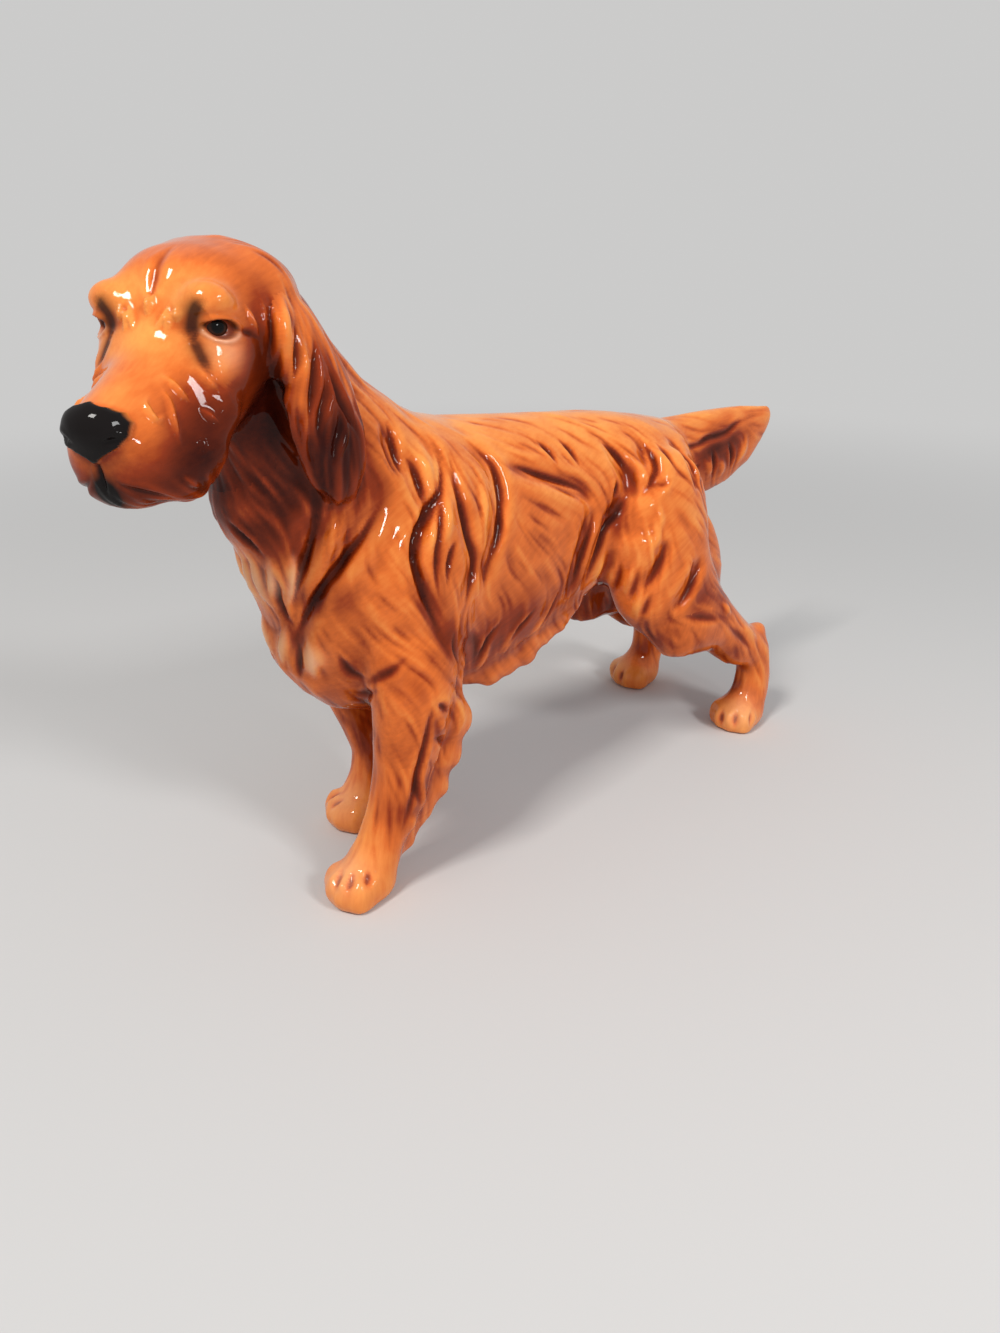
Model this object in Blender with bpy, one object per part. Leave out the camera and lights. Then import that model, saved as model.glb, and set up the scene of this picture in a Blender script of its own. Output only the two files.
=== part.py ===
"""Porcelain setter figurine, built as its slip castings: trunk, head, two ears, four legs and a tail.

The figure is first modelled whole, as a sculptor models the clay original: lofted masses blended into
one skin. The original is then cut at the seams where the castings are luted together with slip.
Frame: metres, +Z up, the dog looks along -Y, +X is its left. The paws stand on Z = 0.
"""

import math
from collections import namedtuple

import bmesh
import bpy
from mathutils import Matrix, Vector
from mathutils.bvhtree import BVHTree
from mathutils.kdtree import KDTree

MM = 0.001

# Stance. Y counts from under the withers, near the forepaws, until the finished figure is centred.
FOREPAW_SPREAD = 25.0 * MM
FOREPAW_STAGGER = 16.0 * MM
HINDPAW_SPREAD = 38.0 * MM
FOREHAND_SHIFT = 2.2 * MM
FOREPAW_SETBACK = 1.5 * MM

# Trunk
WITHERS_HEIGHT = 95.5 * MM
CROUP_HEIGHT = 87.0 * MM
CHEST_FLOOR = 33.0 * MM
LOIN_FLOOR = 46.0 * MM
CHEST_WIDTH = 38.0 * MM
LOIN_WIDTH = 28.0 * MM
HIP_WIDTH = 33.0 * MM
RUMP_Y = 97.0 * MM
HINDPAW_REACH = 20.0 * MM
WHEELBASE = RUMP_Y + HINDPAW_REACH
NECK_WIDTH = 25.0 * MM
THROAT_Y = -20.0 * MM
FRINGE_LENGTH = 11.0 * MM
FRINGE_LEAN = math.radians(25.0)

# Coat: furrows drawn over the flanks with a modelling tool
FURROW_WIDTH = 1.6 * MM
FURROW_DEPTH = 1.5 * MM

# Head, measured from the back of the skull along the turned head's own axes
HEAD_HEIGHT = 123.7 * MM
HEAD_BACK_X = 0.3 * MM
HEAD_BACK_Y = -15.3 * MM
HEAD_TURN = math.radians(32.0)
HEAD_BOW = math.radians(9.0)
SKULL_LENGTH = 24.5 * MM
MUZZLE_LENGTH = 19.0 * MM
SKULL_WIDTH = 26.5 * MM
MUZZLE_WIDTH = 17.6 * MM
MUZZLE_DEPTH = 18.0 * MM
HEAD_DEPTH = 28.5 * MM

# Ears
EAR_LENGTH = 32.5 * MM
EAR_WIDTH = 17.0 * MM
EAR_THICKNESS = 6.0 * MM
EAR_SPREAD = 30.0 * MM
EAR_FOLD = 5.0 * MM

# Legs
FORELEG_WIDTH = 10.5 * MM
BLADE_LENGTH = 30.0 * MM
UPPER_ARM_DEPTH = 23.0 * MM
FEATHER_DEPTH = 19.0 * MM
FEATHER_WIDTH = 7.0 * MM
FEATHER_LEAN = math.radians(28.0)
THIGH_DEPTH = 33.0 * MM
BREECH_DEPTH = 17.0 * MM
TUFT_LENGTH = 9.0 * MM
HOCK_HEIGHT = 25.0 * MM
PASTERN_WIDTH = 9.0 * MM
PAW_LENGTH = 15.5 * MM
PAW_WIDTH = 13.5 * MM
PAW_HEIGHT = 9.0 * MM

# Tail
TAIL_LENGTH = 47.0 * MM
TAIL_FEATHER = 22.5 * MM
TAIL_WIDTH = 10.0 * MM

# Casting: the seams lie just clear of the chest, the groin and the rump
WALL = 4.0 * MM
VENT_WIDTH = 3.0 * MM
SEAM_GAP = 0.3 * MM
FORELEG_SEAM = CHEST_FLOOR - 2.5 * MM
HINDLEG_SEAM = LOIN_FLOOR - 4.5 * MM
TAIL_SEAM_Y = RUMP_Y + 6.0 * MM
LEG_DIVIDE_Y = 0.54 * WHEELBASE

# Fineness of the modelled skin
RING_POINTS = 24
VOXEL = 1.0 * MM
CORE_VOXEL = 1.6 * MM
EAR_VOXEL = 0.8 * MM
SKIN_TRIANGLES = 10000
CORE_TRIANGLES = 900
EAR_TRIANGLES = 500

GLAZE_COLOUR = (0.42, 0.12, 0.025, 1.0)
GLAZE_ROUGHNESS = 0.08
FAR = 150 * MM

Section = namedtuple("Section", "middle up side drop")


# Shaping helpers

def mix(a, b, t):
    return a + (b - a) * t


def section(top, bottom, width, drop=0.0, across=Vector((1, 0, 0))):
    """An oval between a top and a bottom point. A positive drop puts its widest part lower down."""
    top, bottom = Vector(top), Vector(bottom)
    return Section((top + bottom) / 2, (top - bottom) / 2, across * width / 2, drop)


def loft(bm, sections, inset=0.0):
    """Bridge oval rings into one closed mass, drawn in by the inset on every side."""
    rings = []
    for s in sections:
        up = s.up * max(0.1, 1 - inset / s.up.length)
        side = s.side * max(0.1, 1 - inset / s.side.length)
        verts = bmesh.ops.create_circle(bm, segments=RING_POINTS, radius=1.0)["verts"]
        rings.append(list({edge for v in verts for edge in v.link_edges}))
        for v in verts:
            v.co = s.middle + side * v.co.x * (1 - s.drop * v.co.y) + up * v.co.y
    for ring, following in zip(rings, rings[1:]):
        bmesh.ops.bridge_loops(bm, edges=ring + following)
    bmesh.ops.holes_fill(bm, edges=rings[0] + rings[-1], sides=0)


def limb(bm, path):
    """A mass along a path of (point, width across X, depth in the side view)."""
    points = [Vector(p) for p, width, depth in path]
    sections = []
    for k, (point, width, depth) in enumerate(path):
        along = points[min(k + 1, len(points) - 1)] - points[max(k - 1, 0)]
        up = along.cross(Vector((1, 0, 0))).normalized() * depth / 2
        sections.append(Section(points[k], up, Vector((width / 2, 0, 0)), 0.0))
    loft(bm, sections)


def lump(bm, centre, size, turn=Matrix.Identity(3)):
    """An ellipsoid of the given full sizes."""
    shape = Matrix.Translation(centre) @ turn.to_4x4() @ Matrix.Diagonal((*[s / 2 for s in size], 1))
    bmesh.ops.create_icosphere(bm, subdivisions=3, radius=1.0, matrix=shape)


def lock(bm, centre, length, lean):
    """A tapering lock of hair: a long lump that hangs down and leans back."""
    lump(bm, centre, (0.50 * length, 0.68 * length, length), Matrix.Rotation(lean, 3, "X"))


def add_object(name, mesh):
    obj = bpy.data.objects.new(name, mesh)
    bpy.context.collection.objects.link(obj)
    return obj


def taken_mesh(obj):
    """The object's mesh with its modifiers applied. The object itself goes."""
    graph = bpy.context.evaluated_depsgraph_get()
    mesh = bpy.data.meshes.new_from_object(obj.evaluated_get(graph))
    bpy.data.objects.remove(obj)
    return mesh


def melted(bm, voxel, smoothing):
    """Melt overlapping masses into one fine skin."""
    bmesh.ops.recalc_face_normals(bm, faces=bm.faces)
    mesh = bpy.data.meshes.new("masses")
    bm.to_mesh(mesh)
    bm.free()
    masses = add_object("masses", mesh)
    remesh = masses.modifiers.new("melt", "REMESH")
    remesh.mode = "VOXEL"
    remesh.voxel_size = voxel
    smooth = masses.modifiers.new("smooth", "SMOOTH")
    smooth.iterations = smoothing
    return taken_mesh(masses)


def thinned(mesh, triangles):
    """The same skin with about the given number of triangles."""
    skin = add_object("skin", mesh)
    thin = skin.modifiers.new("thin", "DECIMATE")
    thin.ratio = min(1.0, triangles / (2 * len(mesh.polygons)))
    return taken_mesh(skin)


# The masses of the clay original

def head_axes():
    """The turned and bowed head as a matrix: columns are its left, its nose line and its up."""
    return (Matrix.Rotation(HEAD_TURN, 3, "Z") @ Matrix.Rotation(HEAD_BOW, 3, "X")
            @ Matrix(((1, 0, 0), (0, -1, 0), (0, 0, 1))))


HEAD_AXES = head_axes()
HEAD_BACK = Vector((HEAD_BACK_X, HEAD_BACK_Y, HEAD_HEIGHT))


def on_head(left, forward, up):
    return HEAD_BACK + HEAD_AXES @ Vector((left, forward, up))


def back_line(t):
    """Height of the back, from the croup at 0 to the withers at 1."""
    return mix(CROUP_HEIGHT, WITHERS_HEIGHT, t)


def floor_line(t):
    """Height of the underside, from the groin at 0 to the chest at 1."""
    return mix(LOIN_FLOOR, CHEST_FLOOR, t)


def neck_line(t):
    """Height of the nape, from the withers at 0 to the back of the skull at 1."""
    return mix(WITHERS_HEIGHT, HEAD_HEIGHT, t)


def trunk_sections():
    def ring(top, bottom, width, x=0.0, drop=0.0):
        return section((x, *top), (x, *bottom), width, drop)

    return [
        ring((RUMP_Y + 4 * MM, CROUP_HEIGHT - 6 * MM), (RUMP_Y + 4 * MM, CROUP_HEIGHT - 20 * MM), 0.5 * HIP_WIDTH),
        ring((RUMP_Y - 1 * MM, CROUP_HEIGHT - 2 * MM), (RUMP_Y, LOIN_FLOOR + 6 * MM), 0.85 * HIP_WIDTH),
        ring((0.87 * RUMP_Y, CROUP_HEIGHT + 0.5 * MM), (0.87 * RUMP_Y, floor_line(0.0)), HIP_WIDTH),
        ring((0.72 * RUMP_Y, back_line(0.32)), (0.71 * RUMP_Y, floor_line(0.0)), LOIN_WIDTH),
        ring((0.57 * RUMP_Y, back_line(0.45)), (0.56 * RUMP_Y, floor_line(0.55)), mix(LOIN_WIDTH, CHEST_WIDTH, 0.3)),
        ring((0.42 * RUMP_Y, back_line(0.60)), (0.40 * RUMP_Y, floor_line(0.90)), 0.94 * CHEST_WIDTH),
        ring((0.28 * RUMP_Y, back_line(0.75)), (0.23 * RUMP_Y, floor_line(1.0)), CHEST_WIDTH, drop=-0.1),
        ring((0.19 * RUMP_Y, back_line(1.0)), (0.08 * RUMP_Y, CHEST_FLOOR + 1 * MM), CHEST_WIDTH, FOREHAND_SHIFT,
             drop=-0.1),
        ring((0.15 * RUMP_Y, neck_line(0.08)), (0.24 * THROAT_Y, CHEST_FLOOR + 5.5 * MM), 0.95 * CHEST_WIDTH,
             FOREHAND_SHIFT),
        ring((0.115 * RUMP_Y, neck_line(0.19)), (0.71 * THROAT_Y, CHEST_FLOOR + 18 * MM), 0.86 * CHEST_WIDTH,
             FOREHAND_SHIFT),
        ring((0.07 * RUMP_Y, neck_line(0.34)), (0.95 * THROAT_Y, CHEST_FLOOR + 33 * MM),
             mix(NECK_WIDTH, CHEST_WIDTH, 0.3), FOREHAND_SHIFT),
        ring((0.02 * RUMP_Y, neck_line(0.56)), (1.09 * THROAT_Y, CHEST_FLOOR + 45 * MM), NECK_WIDTH, FOREHAND_SHIFT),
        ring((0.33 * HEAD_BACK_Y, neck_line(0.80)), (1.18 * THROAT_Y, CHEST_FLOOR + 56 * MM), 0.95 * NECK_WIDTH,
             1.2 * FOREHAND_SHIFT),
        ring((0.90 * HEAD_BACK_Y, neck_line(0.96)), (1.20 * THROAT_Y, CHEST_FLOOR + 66 * MM), 0.85 * NECK_WIDTH,
             2 * FOREHAND_SHIFT),
    ]


def head_sections():
    left = HEAD_AXES.col[0]
    lips = -HEAD_DEPTH
    brow = SKULL_LENGTH

    def ring(top, bottom, width, drop=0.0):
        return section(on_head(0, *top), on_head(0, *bottom), width, drop, left)

    def along(t):
        return brow + MUZZLE_LENGTH * t

    return [
        ring((-0.20 * brow, -0.14 * HEAD_DEPTH), (0.05 * brow, -0.72 * HEAD_DEPTH), 0.66 * SKULL_WIDTH),
        ring((0.00 * brow, 0.03 * HEAD_DEPTH), (0.20 * brow, -0.77 * HEAD_DEPTH), 0.98 * SKULL_WIDTH, -0.14),
        ring((0.26 * brow, 0.165 * HEAD_DEPTH), (0.36 * brow, -0.80 * HEAD_DEPTH), 1.07 * SKULL_WIDTH, -0.18),
        ring((0.56 * brow, 0.16 * HEAD_DEPTH), (0.57 * brow, -0.84 * HEAD_DEPTH), 1.02 * SKULL_WIDTH, -0.12),
        ring((0.82 * brow, 0.105 * HEAD_DEPTH), (0.86 * brow, -0.88 * HEAD_DEPTH), 0.92 * SKULL_WIDTH),
        ring((1.02 * brow, -0.105 * HEAD_DEPTH), (1.06 * brow, 0.95 * lips), mix(MUZZLE_WIDTH, SKULL_WIDTH, 0.40), 0.05),
        ring((along(0.26), lips + 1.19 * MUZZLE_DEPTH), (along(0.33), lips), 1.03 * MUZZLE_WIDTH, 0.1),
        ring((along(0.54), lips + 1.09 * MUZZLE_DEPTH), (along(0.58), lips), MUZZLE_WIDTH, 0.15),
        ring((along(0.82), lips + 1.00 * MUZZLE_DEPTH), (along(0.84), lips + 0.8 * MM), 0.90 * MUZZLE_WIDTH, 0.12),
        ring((along(0.96), lips + 0.92 * MUZZLE_DEPTH), (along(0.98), lips + 2.8 * MM), 0.68 * MUZZLE_WIDTH),
        ring((along(1.02), lips + 0.82 * MUZZLE_DEPTH), (along(1.03), lips + 5.3 * MM), 0.38 * MUZZLE_WIDTH),
    ]


def tail_sections():
    def ring(t, drop, feather, width):
        y = RUMP_Y + TAIL_LENGTH * t
        top = CROUP_HEIGHT - 2.2 * MM - drop
        return section((0, y, top), (0, y, top - TAIL_FEATHER * feather), TAIL_WIDTH * width)

    return [ring(-0.10, 0.5 * MM, 0.50, 1.1), ring(0.05, 0.2 * MM, 0.72, 1.05), ring(0.22, 0.0, 0.98, 0.95),
            ring(0.42, 0.0, 1.02, 0.85), ring(0.62, 0.3 * MM, 0.93, 0.72), ring(0.80, 0.8 * MM, 0.68, 0.58),
            ring(0.93, 1.2 * MM, 0.38, 0.42), ring(1.0, 1.8 * MM, 0.15, 0.22)]


def paw(bm, x, y):
    """A pad and four toes. They reach below the floor line and the mould trims them flat."""
    lump(bm, (x, y, 0.36 * PAW_HEIGHT), (0.92 * PAW_WIDTH, PAW_LENGTH, 1.22 * PAW_HEIGHT))
    for place, reach in ((-0.36, 0.24), (-0.125, 0.35), (0.125, 0.35), (0.36, 0.24)):
        lump(bm, (x + place * PAW_WIDTH, y - reach * PAW_LENGTH, 0.34 * PAW_HEIGHT),
             (0.31 * PAW_WIDTH, 0.42 * PAW_LENGTH, 0.98 * PAW_HEIGHT))


def foreleg(bm, side):
    """Shoulder blade, straight leg, elbow feathering and paw. The left paw stands a step ahead."""
    foot = FOREHAND_SHIFT + side * FOREPAW_SPREAD / 2
    girth = FOREHAND_SHIFT + side * CHEST_WIDTH / 2
    step = FOREPAW_SETBACK - side * FOREPAW_STAGGER / 2
    blade = 0.3 * BLADE_LENGTH
    arm = 0.3 * UPPER_ARM_DEPTH
    knee = 0.5 * CHEST_FLOOR
    lump(bm, (0.68 * girth, blade, 0.66 * WITHERS_HEIGHT), (0.42 * CHEST_WIDTH, BLADE_LENGTH, 0.44 * WITHERS_HEIGHT))
    limb(bm, [((0.60 * girth, 0.9 * blade, 1.97 * CHEST_FLOOR), 0.9 * FORELEG_WIDTH, 0.7 * UPPER_ARM_DEPTH),
              ((0.74 * girth, arm, 1.70 * CHEST_FLOOR), 1.3 * FORELEG_WIDTH, UPPER_ARM_DEPTH),
              ((mix(girth, foot, 0.45), arm + 0.2 * step, 1.33 * CHEST_FLOOR), 1.3 * FORELEG_WIDTH,
               0.8 * UPPER_ARM_DEPTH),
              ((mix(girth, foot, 0.75), 1.1 * arm + 0.6 * step, 0.80 * CHEST_FLOOR), 1.15 * FORELEG_WIDTH,
               0.58 * UPPER_ARM_DEPTH),
              ((mix(girth, foot, 0.9), arm + 0.9 * step, knee), FORELEG_WIDTH, 1.12 * FORELEG_WIDTH),
              ((foot, 0.65 * arm + 0.95 * step, 0.62 * knee), 0.98 * FORELEG_WIDTH, 1.06 * FORELEG_WIDTH),
              ((foot, 0.2 * arm + step, 0.30 * knee), 1.04 * FORELEG_WIDTH, 1.15 * FORELEG_WIDTH)])
    feather = [(0.0, 0.20, 0.0, 1.48, 0.6, 0.5), (0.4, 0.02, 0.2, 1.24, 1.0, 0.8), (0.7, 0.05, 0.4, 0.95, 1.0, 1.0),
               (1.0, 0.04, 0.7, 0.68, 0.9, 0.95), (1.0, -0.20, 0.8, 0.42, 0.9, 0.72), (1.0, -0.34, 0.85, 0.22, 0.7, 0.5)]
    behind = 0.65 * FEATHER_DEPTH
    limb(bm, [((mix(0.8 * girth, foot, t), behind + back * FEATHER_DEPTH + k * step, height * CHEST_FLOOR),
               width * FEATHER_WIDTH, depth * FEATHER_DEPTH) for t, back, k, height, width, depth in feather])
    for t, back, k, height, length in ((0.5, 0.26, 0.2, 1.08, 0.66), (0.7, 0.30, 0.4, 0.84, 0.62),
                                       (0.9, 0.22, 0.6, 0.62, 0.56), (1.0, 0.08, 0.75, 0.45, 0.48),
                                       (1.0, -0.08, 0.8, 0.29, 0.42)):
        lock(bm, (mix(girth, foot, t), behind + back * FEATHER_DEPTH + k * step, height * CHEST_FLOOR),
             length * FEATHER_DEPTH, FEATHER_LEAN)
    paw(bm, foot, step)


def hindleg(bm, side):
    """Thigh, stifle, hock and rear pastern in one bent limb, breeching behind the thigh, and the paw."""
    foot = side * HINDPAW_SPREAD / 2
    hip = side * HIP_WIDTH / 2
    heel = WHEELBASE + 0.15 * PAW_LENGTH
    groin = LOIN_FLOOR
    lump(bm, (0.82 * hip, 0.86 * RUMP_Y, 1.26 * groin), (0.50 * HIP_WIDTH, THIGH_DEPTH, groin))
    limb(bm, [((0.60 * hip, 0.85 * RUMP_Y, 1.61 * groin), 0.30 * HIP_WIDTH, 0.67 * THIGH_DEPTH),
              ((0.84 * hip, 0.85 * RUMP_Y, 1.37 * groin), 0.50 * HIP_WIDTH, THIGH_DEPTH),
              ((0.94 * hip, 0.875 * RUMP_Y, 1.065 * groin), 0.48 * HIP_WIDTH, 0.94 * THIGH_DEPTH),
              ((mix(hip, foot, 0.2), mix(RUMP_Y, heel, -0.16), 0.81 * groin), 1.6 * PASTERN_WIDTH, 0.73 * THIGH_DEPTH),
              ((mix(hip, foot, 0.5), mix(RUMP_Y, heel, 0.30), 1.31 * HOCK_HEIGHT), 1.28 * PASTERN_WIDTH,
               0.44 * THIGH_DEPTH),
              ((mix(hip, foot, 0.8), mix(RUMP_Y, heel, 0.72), 1.00 * HOCK_HEIGHT), 1.05 * PASTERN_WIDTH,
               0.39 * THIGH_DEPTH),
              ((foot, heel + 0.1 * PASTERN_WIDTH, 0.84 * HOCK_HEIGHT), PASTERN_WIDTH, 1.22 * PASTERN_WIDTH),
              ((foot, heel + 0.1 * PASTERN_WIDTH, 0.60 * HOCK_HEIGHT), 0.94 * PASTERN_WIDTH, 1.08 * PASTERN_WIDTH),
              ((foot, heel + 0.1 * PASTERN_WIDTH, 0.34 * HOCK_HEIGHT), PASTERN_WIDTH, 1.3 * PASTERN_WIDTH),
              ((foot, heel - 0.4 * PASTERN_WIDTH, 0.18 * HOCK_HEIGHT), 1.05 * PASTERN_WIDTH, 1.25 * PASTERN_WIDTH)])
    lump(bm, (0.78 * hip, RUMP_Y + 0.2 * BREECH_DEPTH, groin), (0.30 * HIP_WIDTH, BREECH_DEPTH, 0.78 * groin))
    lump(bm, (0.98 * foot, heel + 0.15 * TUFT_LENGTH, 1.07 * HOCK_HEIGHT), (0.6 * TUFT_LENGTH, TUFT_LENGTH, 0.62 * TUFT_LENGTH))
    paw(bm, foot, WHEELBASE)


def ear(bm, side):
    """A leathery flap hung from the skull, lying back along the neck, with a rolled fold at its front."""
    skull_side = HEAD_AXES.col[0] * side
    root = on_head(side * 0.42 * SKULL_WIDTH, 0.30 * SKULL_LENGTH, -0.19 * HEAD_DEPTH)
    tip = Vector((1.2 * FOREHAND_SHIFT + side * EAR_SPREAD / 2, 0.4 * root.y + 0.1 * HEAD_BACK_Y, root.z - EAR_LENGTH))
    knee = root + skull_side * 0.3 * SKULL_WIDTH + Vector((0, 0, -0.32 * EAR_LENGTH))
    flap, fold = [], []
    for t, width, thick in ((0.0, 0.45, 0.9), (0.12, 0.68, 1.0), (0.22, 0.80, 1.0), (0.32, 0.88, 1.0), (0.42, 0.93, 1.0),
                            (0.55, 0.96, 0.95), (0.75, 0.90, 0.9), (0.90, 0.66, 0.8), (1.0, 0.25, 0.5)):
        middle = root * (1 - t) ** 2 + knee * 2 * t * (1 - t) + tip * t * t
        along = ((knee - root) * (1 - t) + (tip - knee) * t).normalized()
        outward = mix(skull_side, Vector((side, 0, 0)), t).normalized()
        across = outward.cross(along).normalized()
        outward = along.cross(across).normalized()
        half = across * width * EAR_WIDTH / 2
        flap.append(Section(middle, half, outward * thick * EAR_THICKNESS / 2, 0.0))
        if t < 0.5:
            front = half if half.dot(HEAD_AXES.col[1]) > 0 else -half
            roll = EAR_FOLD / 2 * math.sin(math.pi * (0.25 + 0.7 * t / 0.42))
            fold.append(Section(middle + 0.78 * front + outward * 0.25 * EAR_FOLD, across * roll, outward * roll, 0.0))
    loft(bm, flap)
    loft(bm, fold)


def flews(bm):
    """The hanging lips on both sides of the muzzle."""
    for side in (1, -1):
        lump(bm, on_head(side * 0.33 * MUZZLE_WIDTH, SKULL_LENGTH + 0.38 * MUZZLE_LENGTH, -0.79 * HEAD_DEPTH),
             (0.52 * MUZZLE_WIDTH, 0.80 * MUZZLE_LENGTH, 0.46 * HEAD_DEPTH), HEAD_AXES)


def fringe(bm):
    """Locks of longer hair hanging from the edge of the belly, stepping up from the chest to the loin."""
    for side in (1, -1):
        for y, height, length in ((0.29, 1.20, 1.0), (0.345, 1.16, 1.15), (0.40, 1.16, 1.05), (0.455, 1.20, 1.2),
                                  (0.51, 1.28, 1.0), (0.56, 1.37, 1.1), (0.61, 1.45, 0.9)):
            lock(bm, (side * 0.20 * CHEST_WIDTH, y * RUMP_Y, height * CHEST_FLOOR), length * FRINGE_LENGTH, FRINGE_LEAN)


# The coat

def coat_furrows():
    """Lines seen from the side: shares of the way from the withers to the rump, and of the withers' height."""
    return {
        "nape": ((0.06, 1.01), (0.055, 0.96), (0.06, 0.91)),
        "shoulder_front": ((0.02, 0.89), (-0.06, 0.80), (-0.115, 0.725), (-0.148, 0.64), (-0.14, 0.55)),
        "chest": ((-0.11, 0.87), (-0.135, 0.81), (-0.155, 0.73), (-0.165, 0.66)),
        "blade": ((0.08, 0.95), (0.095, 0.90), (0.095, 0.84)),
        "shoulder_rear": ((0.145, 0.97), (0.16, 0.925), (0.14, 0.87), (0.08, 0.81), (0.05, 0.75), (0.07, 0.67),
                          (0.11, 0.56)),
        "front_rib": ((0.20, 0.935), (0.18, 0.87), (0.19, 0.78), (0.205, 0.71), (0.16, 0.64)),
        "rear_rib": ((0.265, 0.945), (0.31, 0.88), (0.30, 0.80), (0.25, 0.71), (0.24, 0.65)),
        "loin": ((0.35, 0.885), (0.47, 0.835), (0.575, 0.79), (0.61, 0.755)),
        "flank_front": ((0.615, 0.75), (0.56, 0.65), (0.54, 0.54)),
        "flank_rear": ((0.725, 0.75), (0.65, 0.695), (0.61, 0.60), (0.605, 0.54)),
        "coupling": ((0.685, 0.885), (0.725, 0.82), (0.735, 0.785), (0.72, 0.755)),
        "hip": ((0.80, 0.875), (0.80, 0.82), (0.775, 0.78), (0.73, 0.745)),
        "rump": ((0.925, 0.86), (0.925, 0.79), (0.935, 0.74)),
        "thigh_front": ((0.80, 0.65), (0.775, 0.60), (0.74, 0.52)),
        "thigh_rear": ((0.92, 0.58), (0.88, 0.53), (0.815, 0.46)),
    }


def curved(knots, steps=12):
    """A smooth line through the knots."""
    knots = [Vector(k) for k in knots]
    knots = [2 * knots[0] - knots[1]] + knots + [2 * knots[-1] - knots[-2]]
    line = []
    for a, b, c, d in zip(knots, knots[1:], knots[2:], knots[3:]):
        for step in range(steps):
            t = step / steps
            line.append(b + (c - a) * t / 2 + (2 * a - 5 * b + 4 * c - d) * t ** 2 / 2
                        + (3 * b - a - 3 * c + d) * t ** 3 / 2)
    return line + [knots[-2]]


def combed(mesh):
    """Press the furrows of the coat into both flanks of a skin, with a low bank of hair on either edge."""
    flank_skin = BVHTree.FromPolygons([v.co for v in mesh.vertices], [p.vertices for p in mesh.polygons])
    places = KDTree(len(mesh.vertices))
    for v in mesh.vertices:
        places.insert(v.co, v.index)
    places.balance()
    push = [0.0] * len(mesh.vertices)
    for knots in coat_furrows().values():
        line = curved(knots)
        for side in (1, -1):
            nearest = {}
            for k, (y, z) in enumerate(line):
                start = Vector((side * FAR, y * RUMP_Y, z * WITHERS_HEIGHT))
                hit = flank_skin.ray_cast(start, Vector((-side, 0, 0)))[0]
                fade = math.sin(math.pi * min(0.5, 2 * k / len(line), 2 - 2 * (k + 1) / len(line)))
                for _, index, gap in places.find_range(hit, 4 * FURROW_WIDTH) if hit else ():
                    nearest[index] = min((gap, fade), nearest.get(index, (FAR, 0)))
            for index, (gap, fade) in nearest.items():
                across = gap / FURROW_WIDTH
                push[index] += fade * FURROW_DEPTH * (0.3 * math.exp(-(across - 2) ** 2) - math.exp(-across ** 2))
    moved = [v.co + v.normal * step for v, step in zip(mesh.vertices, push)]
    for v, place in zip(mesh.vertices, moved):
        v.co = place
    return mesh


# The castings

def material(node):
    shader = bpy.data.materials.new(node + "_glaze")
    shader.use_nodes = True
    principled = shader.node_tree.nodes["Principled BSDF"]
    principled.inputs["Base Color"].default_value = GLAZE_COLOUR
    principled.inputs["Roughness"].default_value = GLAZE_ROUGHNESS
    return shader


def hide(obj):
    obj.hide_render = True
    obj.display_type = "WIRE"
    return obj


def box(name, low, high, turn=Matrix.Identity(4)):
    """A hidden cutting block between two corners."""
    low, high = Vector(low), Vector(high)
    bm = bmesh.new()
    bmesh.ops.create_cube(bm, size=1.0, matrix=turn @ Matrix.Translation((low + high) / 2)
                          @ Matrix.Diagonal((*(high - low), 1)))
    mesh = bpy.data.meshes.new(name)
    bm.to_mesh(mesh)
    bm.free()
    return hide(add_object(name, mesh))


def casting(name, mesh, keep=(), remove=()):
    """One piece: the modelled skin with the seam blocks cut from it."""
    obj = add_object(name, mesh.copy())
    obj.data.materials.clear()
    obj.data.materials.append(material(name))
    for operation, tools in (("INTERSECT", keep), ("DIFFERENCE", remove)):
        for tool in tools:
            cut = obj.modifiers.new(tool.name, "BOOLEAN")
            cut.operation = operation
            cut.solver = "EXACT"
            cut.object = tool
    obj.data.shade_smooth()
    return obj


for leftover in list(bpy.data.objects):
    bpy.data.objects.remove(leftover, do_unlink=True)

original = bmesh.new()
loft(original, trunk_sections())
loft(original, head_sections())
loft(original, tail_sections())
flews(original)
fringe(original)
for flank in (1, -1):
    foreleg(original, flank)
    hindleg(original, flank)
    lump(original, on_head(flank * 0.27 * SKULL_WIDTH, 0.86 * SKULL_LENGTH, -2.2 * MM),
         (0.36 * SKULL_WIDTH, 0.36 * SKULL_LENGTH, 5.5 * MM), HEAD_AXES)
lump(original, on_head(0, SKULL_LENGTH + 0.93 * MUZZLE_LENGTH, -0.50 * HEAD_DEPTH),
     (0.56 * MUZZLE_WIDTH, 6.5 * MM, 6.5 * MM), HEAD_AXES)
skin = thinned(combed(melted(original, VOXEL, 8)), SKIN_TRIANGLES)

hollow = bmesh.new()
loft(hollow, trunk_sections()[1:], WALL)
loft(hollow, head_sections()[2:6], WALL)
core_skin = thinned(melted(hollow, CORE_VOXEL, 4), CORE_TRIANGLES)

# Centre the figure over the origin, then make everything else in the stance's own measure and move it too.
corners = [v.co for v in skin.vertices]
centre_x = (min(c.x for c in corners) + max(c.x for c in corners)) / 2
centre_y = (min(c.y for c in corners) + max(c.y for c in corners)) / 2
CENTRE = Matrix.Translation((-centre_x, -centre_y, 0))
skin.transform(CENTRE)
core_skin.transform(CENTRE)

core = hide(add_object("core", core_skin))
clearance = hide(add_object("figure_clearance", skin.copy()))
grow = clearance.modifiers.new("seam_gap", "DISPLACE")
grow.strength = SEAM_GAP
grow.mid_level = 0.0

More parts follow.
